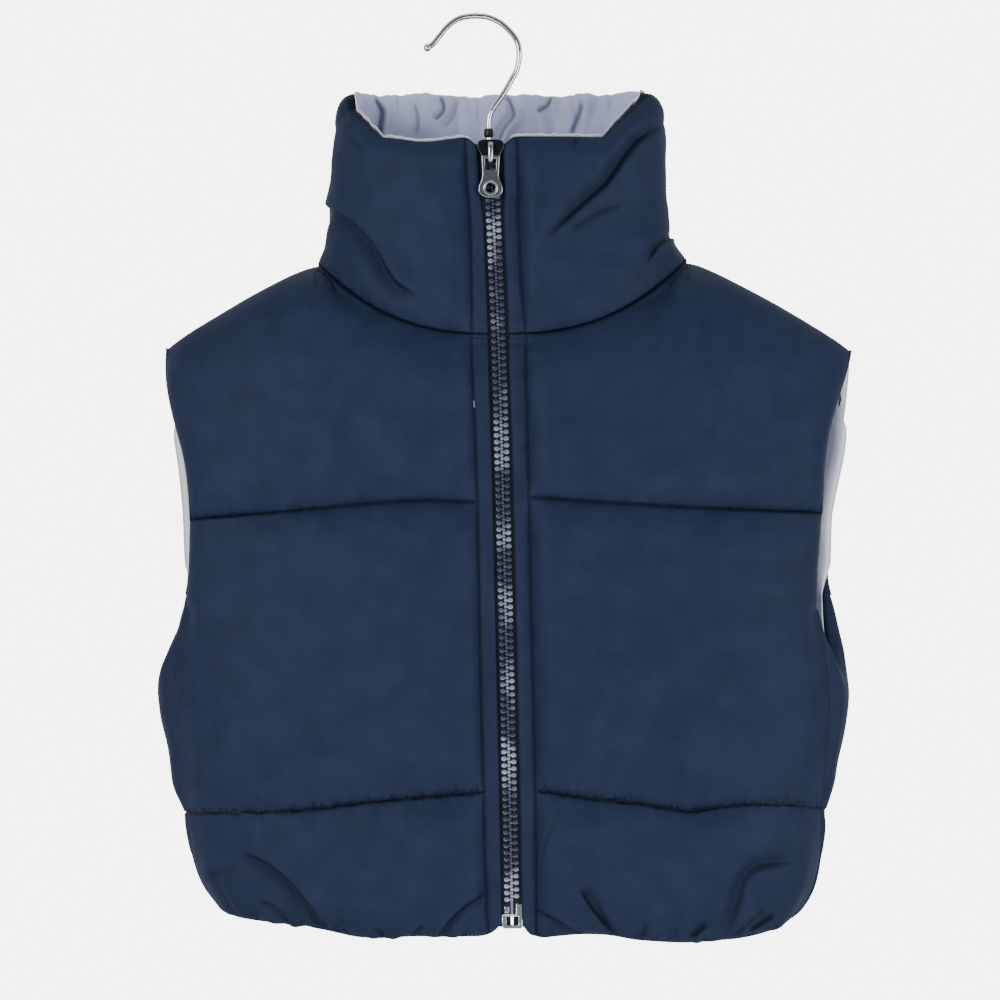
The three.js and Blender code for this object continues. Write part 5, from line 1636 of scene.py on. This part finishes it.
# One arm's top line and taper: a cubic from the stem to the neck point, then the shoulder seam
def armTop(side):
    corner, end = shoulder[side], hanger["ends"][side]
    share = np.linspace(0, 1, 44)
    reach = corner["tipX"] - corner["neckX"]
    outer = np.clip((share - 0.5) / 0.5, 0, 1) * (end - corner["neckX"]) / reach
    seamX, _, seamZ = shoulderPoint(side, outer, -1)
    t = np.clip(share / 0.5, 0, 1)
    neckZ = corner["neckZ"] - hanger["armGap"]
    slope = (corner["tipZ"] - corner["neckZ"]) / reach * (corner["neckX"] - hanger["stemX"])
    hump = (hanger["armTop"] * (1 - t) ** 2 * (1 + 2 * t) + neckZ * t * t * (3 - 2 * t)
            - slope * t * t * (1 - t))
    x = np.where(share < 0.5, mix(hanger["stemX"], corner["neckX"], t), seamX)
    z = np.where(share < 0.5, hump, seamZ - hanger["armGap"])
    taper = np.clip((1 - share) / 0.06, 0.16, 1) ** 0.5
    return x, z - hanger["armHeight"] - 0.4, taper


# The hook is a wire with a ball at its end, the sleeve a short barrel, and the dark body two arms
# that droop under the shoulder seams, with a round neck
def hangerPieces():
    start, following = (np.array([px, 0, pz]) for px, pz in hanger["hook"][:2])
    line = curveThrough(hanger["hook"], 220)
    path = np.column_stack([line[:, 0], np.zeros(len(line)), line[:, 1]])
    wire = barMesh("hookWire", path, hanger["wire"], "chrome", 22)
    turn = np.linspace(-math.pi / 2, math.pi / 2, 18)
    outwards = (start - following) / np.linalg.norm(start - following)
    ballPath = start + outwards * (hanger["ball"] * np.sin(turn))[:, None]
    ball = barMesh("hookBall", ballPath, hanger["ball"] * np.cos(turn) + 0.01, "chrome", 22)
    hook = mergePieces("hook", [wire, ball])
    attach(hook, "vest")
    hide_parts("hanger_hook")
    sleeve = barMesh("stem_sleeve", stemPath(hanger["sleeveSpan"], 8), hanger["sleeve"], "hanger",
                     24)
    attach(sleeve, "vest")
    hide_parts("hanger_sleeve")

    right, left = armTop(rightSide), armTop(leftSide)
    x, z, taper = (np.concatenate([a[:0:-1], b]) for a, b in zip(right, left))
    arms = barMesh("hangerArms", np.column_stack([x, 0 * x, z]), hanger["armHeight"] * taper,
                   "hanger", 24, hanger["armWidth"] * taper)
    neck = barMesh("hangerNeck", stemPath(hanger["neckSpan"], 6), np.linspace(*hanger["neck"], 6),
                   "hanger", 24)
    body = mergePieces("hanger_arms", [arms, neck])
    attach(body, "vest")
    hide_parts("hanger_body")


hangerPieces()


# Rows of stitches: short six-sided bars with rounded ends along a line on the cloth
def stitchRows(name, rows, material, pitch=3.2, length=2.3, thick=0.34, sink=0.05):
    allPoints, allFaces, first = [], [], 0
    ringTurn = np.arange(6) * math.pi / 3
    faces = []
    for ring in range(3):
        for n in range(6):
            a, b = ring * 6 + n, ring * 6 + (n + 1) % 6
            faces.append((a, b, b + 6, a + 6))
    faces += [(0, 3, 2, 1), (18, 19, 20, 21), (0, 5, 4, 3), (18, 21, 22, 23)]
    for line, normal in rows:
        step = np.concatenate([[0], np.cumsum(np.linalg.norm(np.diff(line, axis=0), axis=1))])
        centres = np.arange(pitch / 2, step[-1] - pitch / 2, pitch)
        if not len(centres):
            continue

        def at(values, places):
            return np.stack([np.interp(places, step, values[:, n]) for n in range(3)], -1)

        start, end = at(line, centres - length / 2), at(line, centres + length / 2)
        up = at(normal, centres)
        up /= np.linalg.norm(up, axis=1, keepdims=True)
        way = end - start
        way /= np.linalg.norm(way, axis=1, keepdims=True)
        beside = np.cross(way, up)
        beside /= np.linalg.norm(beside, axis=1, keepdims=True)
        rings = []
        for t, size in ((0, 0.35), (0.2, 1), (0.8, 1), (1, 0.35)):
            centre = mix(start, end, t) + up * (thick * 0.5 - sink)
            wide = (thick * size * np.cos(ringTurn))[None, :, None]
            high = (thick * size * np.sin(ringTurn))[None, :, None]
            rings.append(centre[:, None] + beside[:, None] * wide + up[:, None] * high)
        points = np.concatenate(rings, axis=1)
        flat, repeated = repeatMesh(points, np.array(faces), len(centres))
        allPoints.append(flat)
        allFaces.append(repeated + first)
        first += len(flat)
    obj = addMesh(name, np.concatenate(allPoints), np.concatenate(allFaces), material)
    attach(obj, "vest")
    return obj


# Stitches beside the zip and along the quilting lines, and the pale bar-tack on the right strip
def stitchPieces():
    rows = []
    column = front["stripColumns"] - 1
    for side in (rightSide, leftSide):
        grid = fronts[side]
        rows.append((grid["outer"][column], grid["normal"][column]))
        n = column if side < 0 else -1 - column
        rows.append((collarGrid["outer"][n], collarGrid["normal"][n]))
        for line in (1, 2):
            row = int(np.argmin(np.abs(grid["v"] - line)))
            rows.append((grid["outer"][column:, row], grid["normal"][column:, row]))
    lowerRow = back["hemRows"] - 1
    for row in (lowerRow, lowerRow + back["belowRows"] + back["aboveRows"] - 2):
        inside = backGrid["keep"][:, row]
        use = np.concatenate([inside, inside[-1:]])
        rows.append((backGrid["outer"][use, row], backGrid["normal"][use, row]))
    stitchRows("seam_stitches", rows, "thread")
    line, normal = fronts[rightSide]["outer"][column], fronts[rightSide]["normal"][column]
    tackFoot, tackTop = front["barTack"]
    pick = (line[:, 2] < tackTop) & (line[:, 2] > tackFoot)
    stitchRows("bar_tack", [(line[pick], normal[pick])], "paleThread", pitch=1.0,
               length=0.95, thick=0.45)


stitchPieces()

# Stage: pale floor, white backdrop, soft light, camera level with the middle of the picture
stage = {
    "floorZ": -1250.0, "floorHalf": 6000, "shade": 0.86,
    "surround": 0.78, "behindCamera": 0.1, "backdrop": 6.0,
    "aim": (15, 0, -300),
    # name, place, size in metres, watts
    "lamps": [
        ("key", (-1300, -2000, 100), (1.0, 1.0), 29),
        ("fill", (1900, -1900, -500), (1.4, 1.4), 31),
        ("low", (-300, -2300, -1500), (1.2, 0.8), 46),
    ],
}
view = {"centreX": 15.0, "centreZ": -288.6, "distance": 5000.0, "width": 600.0, "sensor": 36}


# A matt square far below the vest
def floorPiece():
    material = bpy.data.materials.new("stage")
    material.use_nodes = True
    shader = material.node_tree.nodes["Principled BSDF"]
    shader.inputs["Base Color"].default_value = (stage["shade"], stage["shade"], stage["shade"], 1)
    shader.inputs["Roughness"].default_value = 0.9
    materials["stage"] = material
    corners = ((-1, -1), (1, -1), (1, 1), (-1, 1))
    points = [(stage["floorHalf"] * a, stage["floorHalf"] * b, stage["floorZ"]) for a, b in corners]
    floor = addMesh("floor", points, [(0, 1, 2, 3)], "stage", smoothShade=False)


# The camera sees plain white. The light round the vest is a ramp along y, darker behind the camera,
# so that shiny parts show their shape.
def surround():
    world = bpy.data.worlds.new("studio")
    bpy.context.scene.world = world
    world.use_nodes = True
    nodes, links = world.node_tree.nodes, world.node_tree.links
    background = nodes["Background"]
    background.inputs["Strength"].default_value = stage["surround"]
    place = nodes.new("ShaderNodeTexCoord")
    split = nodes.new("ShaderNodeSeparateXYZ")
    ramp = nodes.new("ShaderNodeValToRGB")
    ramp.color_ramp.elements[0].position = 0.08
    ramp.color_ramp.elements[0].color = (*[stage["behindCamera"]] * 3, 1)
    ramp.color_ramp.elements[1].position = 0.32
    ramp.color_ramp.elements[1].color = (1, 1, 1, 1)
    widen = nodes.new("ShaderNodeMath")
    widen.operation = "MULTIPLY_ADD"
    widen.inputs[1].default_value = 0.5
    widen.inputs[2].default_value = 0.5
    links.new(place.outputs["Generated"], split.inputs["Vector"])
    links.new(split.outputs["Y"], widen.inputs[0])
    links.new(widen.outputs["Value"], ramp.inputs["Fac"])
    links.new(ramp.outputs["Color"], background.inputs["Color"])
    seen = nodes.new("ShaderNodeBackground")
    seen.inputs["Color"].default_value = (1, 1, 1, 1)
    seen.inputs["Strength"].default_value = stage["backdrop"]
    rays = nodes.new("ShaderNodeLightPath")
    choose = nodes.new("ShaderNodeMixShader")
    links.new(rays.outputs["Is Camera Ray"], choose.inputs["Fac"])
    links.new(background.outputs["Background"], choose.inputs[1])
    links.new(seen.outputs["Background"], choose.inputs[2])
    links.new(choose.outputs["Shader"], nodes["World Output"].inputs["Surface"])


# An area lamp turned towards the vest's middle
def light(name, place, size, power):
    data = bpy.data.lights.new(name, "AREA")
    data.shape = "RECTANGLE"
    data.size, data.size_y = size
    data.energy = power
    lamp = bpy.data.objects.new(name, data)
    start, end = np.array(place) * metre, np.array(stage["aim"]) * metre
    lamp.location = start
    lamp.rotation_euler = Vector(end - start).to_track_quat("-Z", "Y").to_euler()
    bpy.context.scene.collection.objects.link(lamp)


# Lens length for the picture's width at the vest's distance
def cameraPiece():
    data = bpy.data.cameras.new("camera")
    data.sensor_width = view["sensor"]
    data.lens = view["sensor"] * view["distance"] / view["width"]
    data.clip_end = 50
    camera = bpy.data.objects.new("camera", data)
    camera.location = np.array([view["centreX"], -view["distance"], view["centreZ"]]) * metre
    camera.rotation_euler = (math.pi / 2, 0, 0)
    bpy.context.scene.collection.objects.link(camera)
    bpy.context.scene.camera = camera


floorPiece()
surround()
for lampLook in stage["lamps"]:
    light(*lampLook)
cameraPiece()
print("stage", len(stage["lamps"]), "lamps")
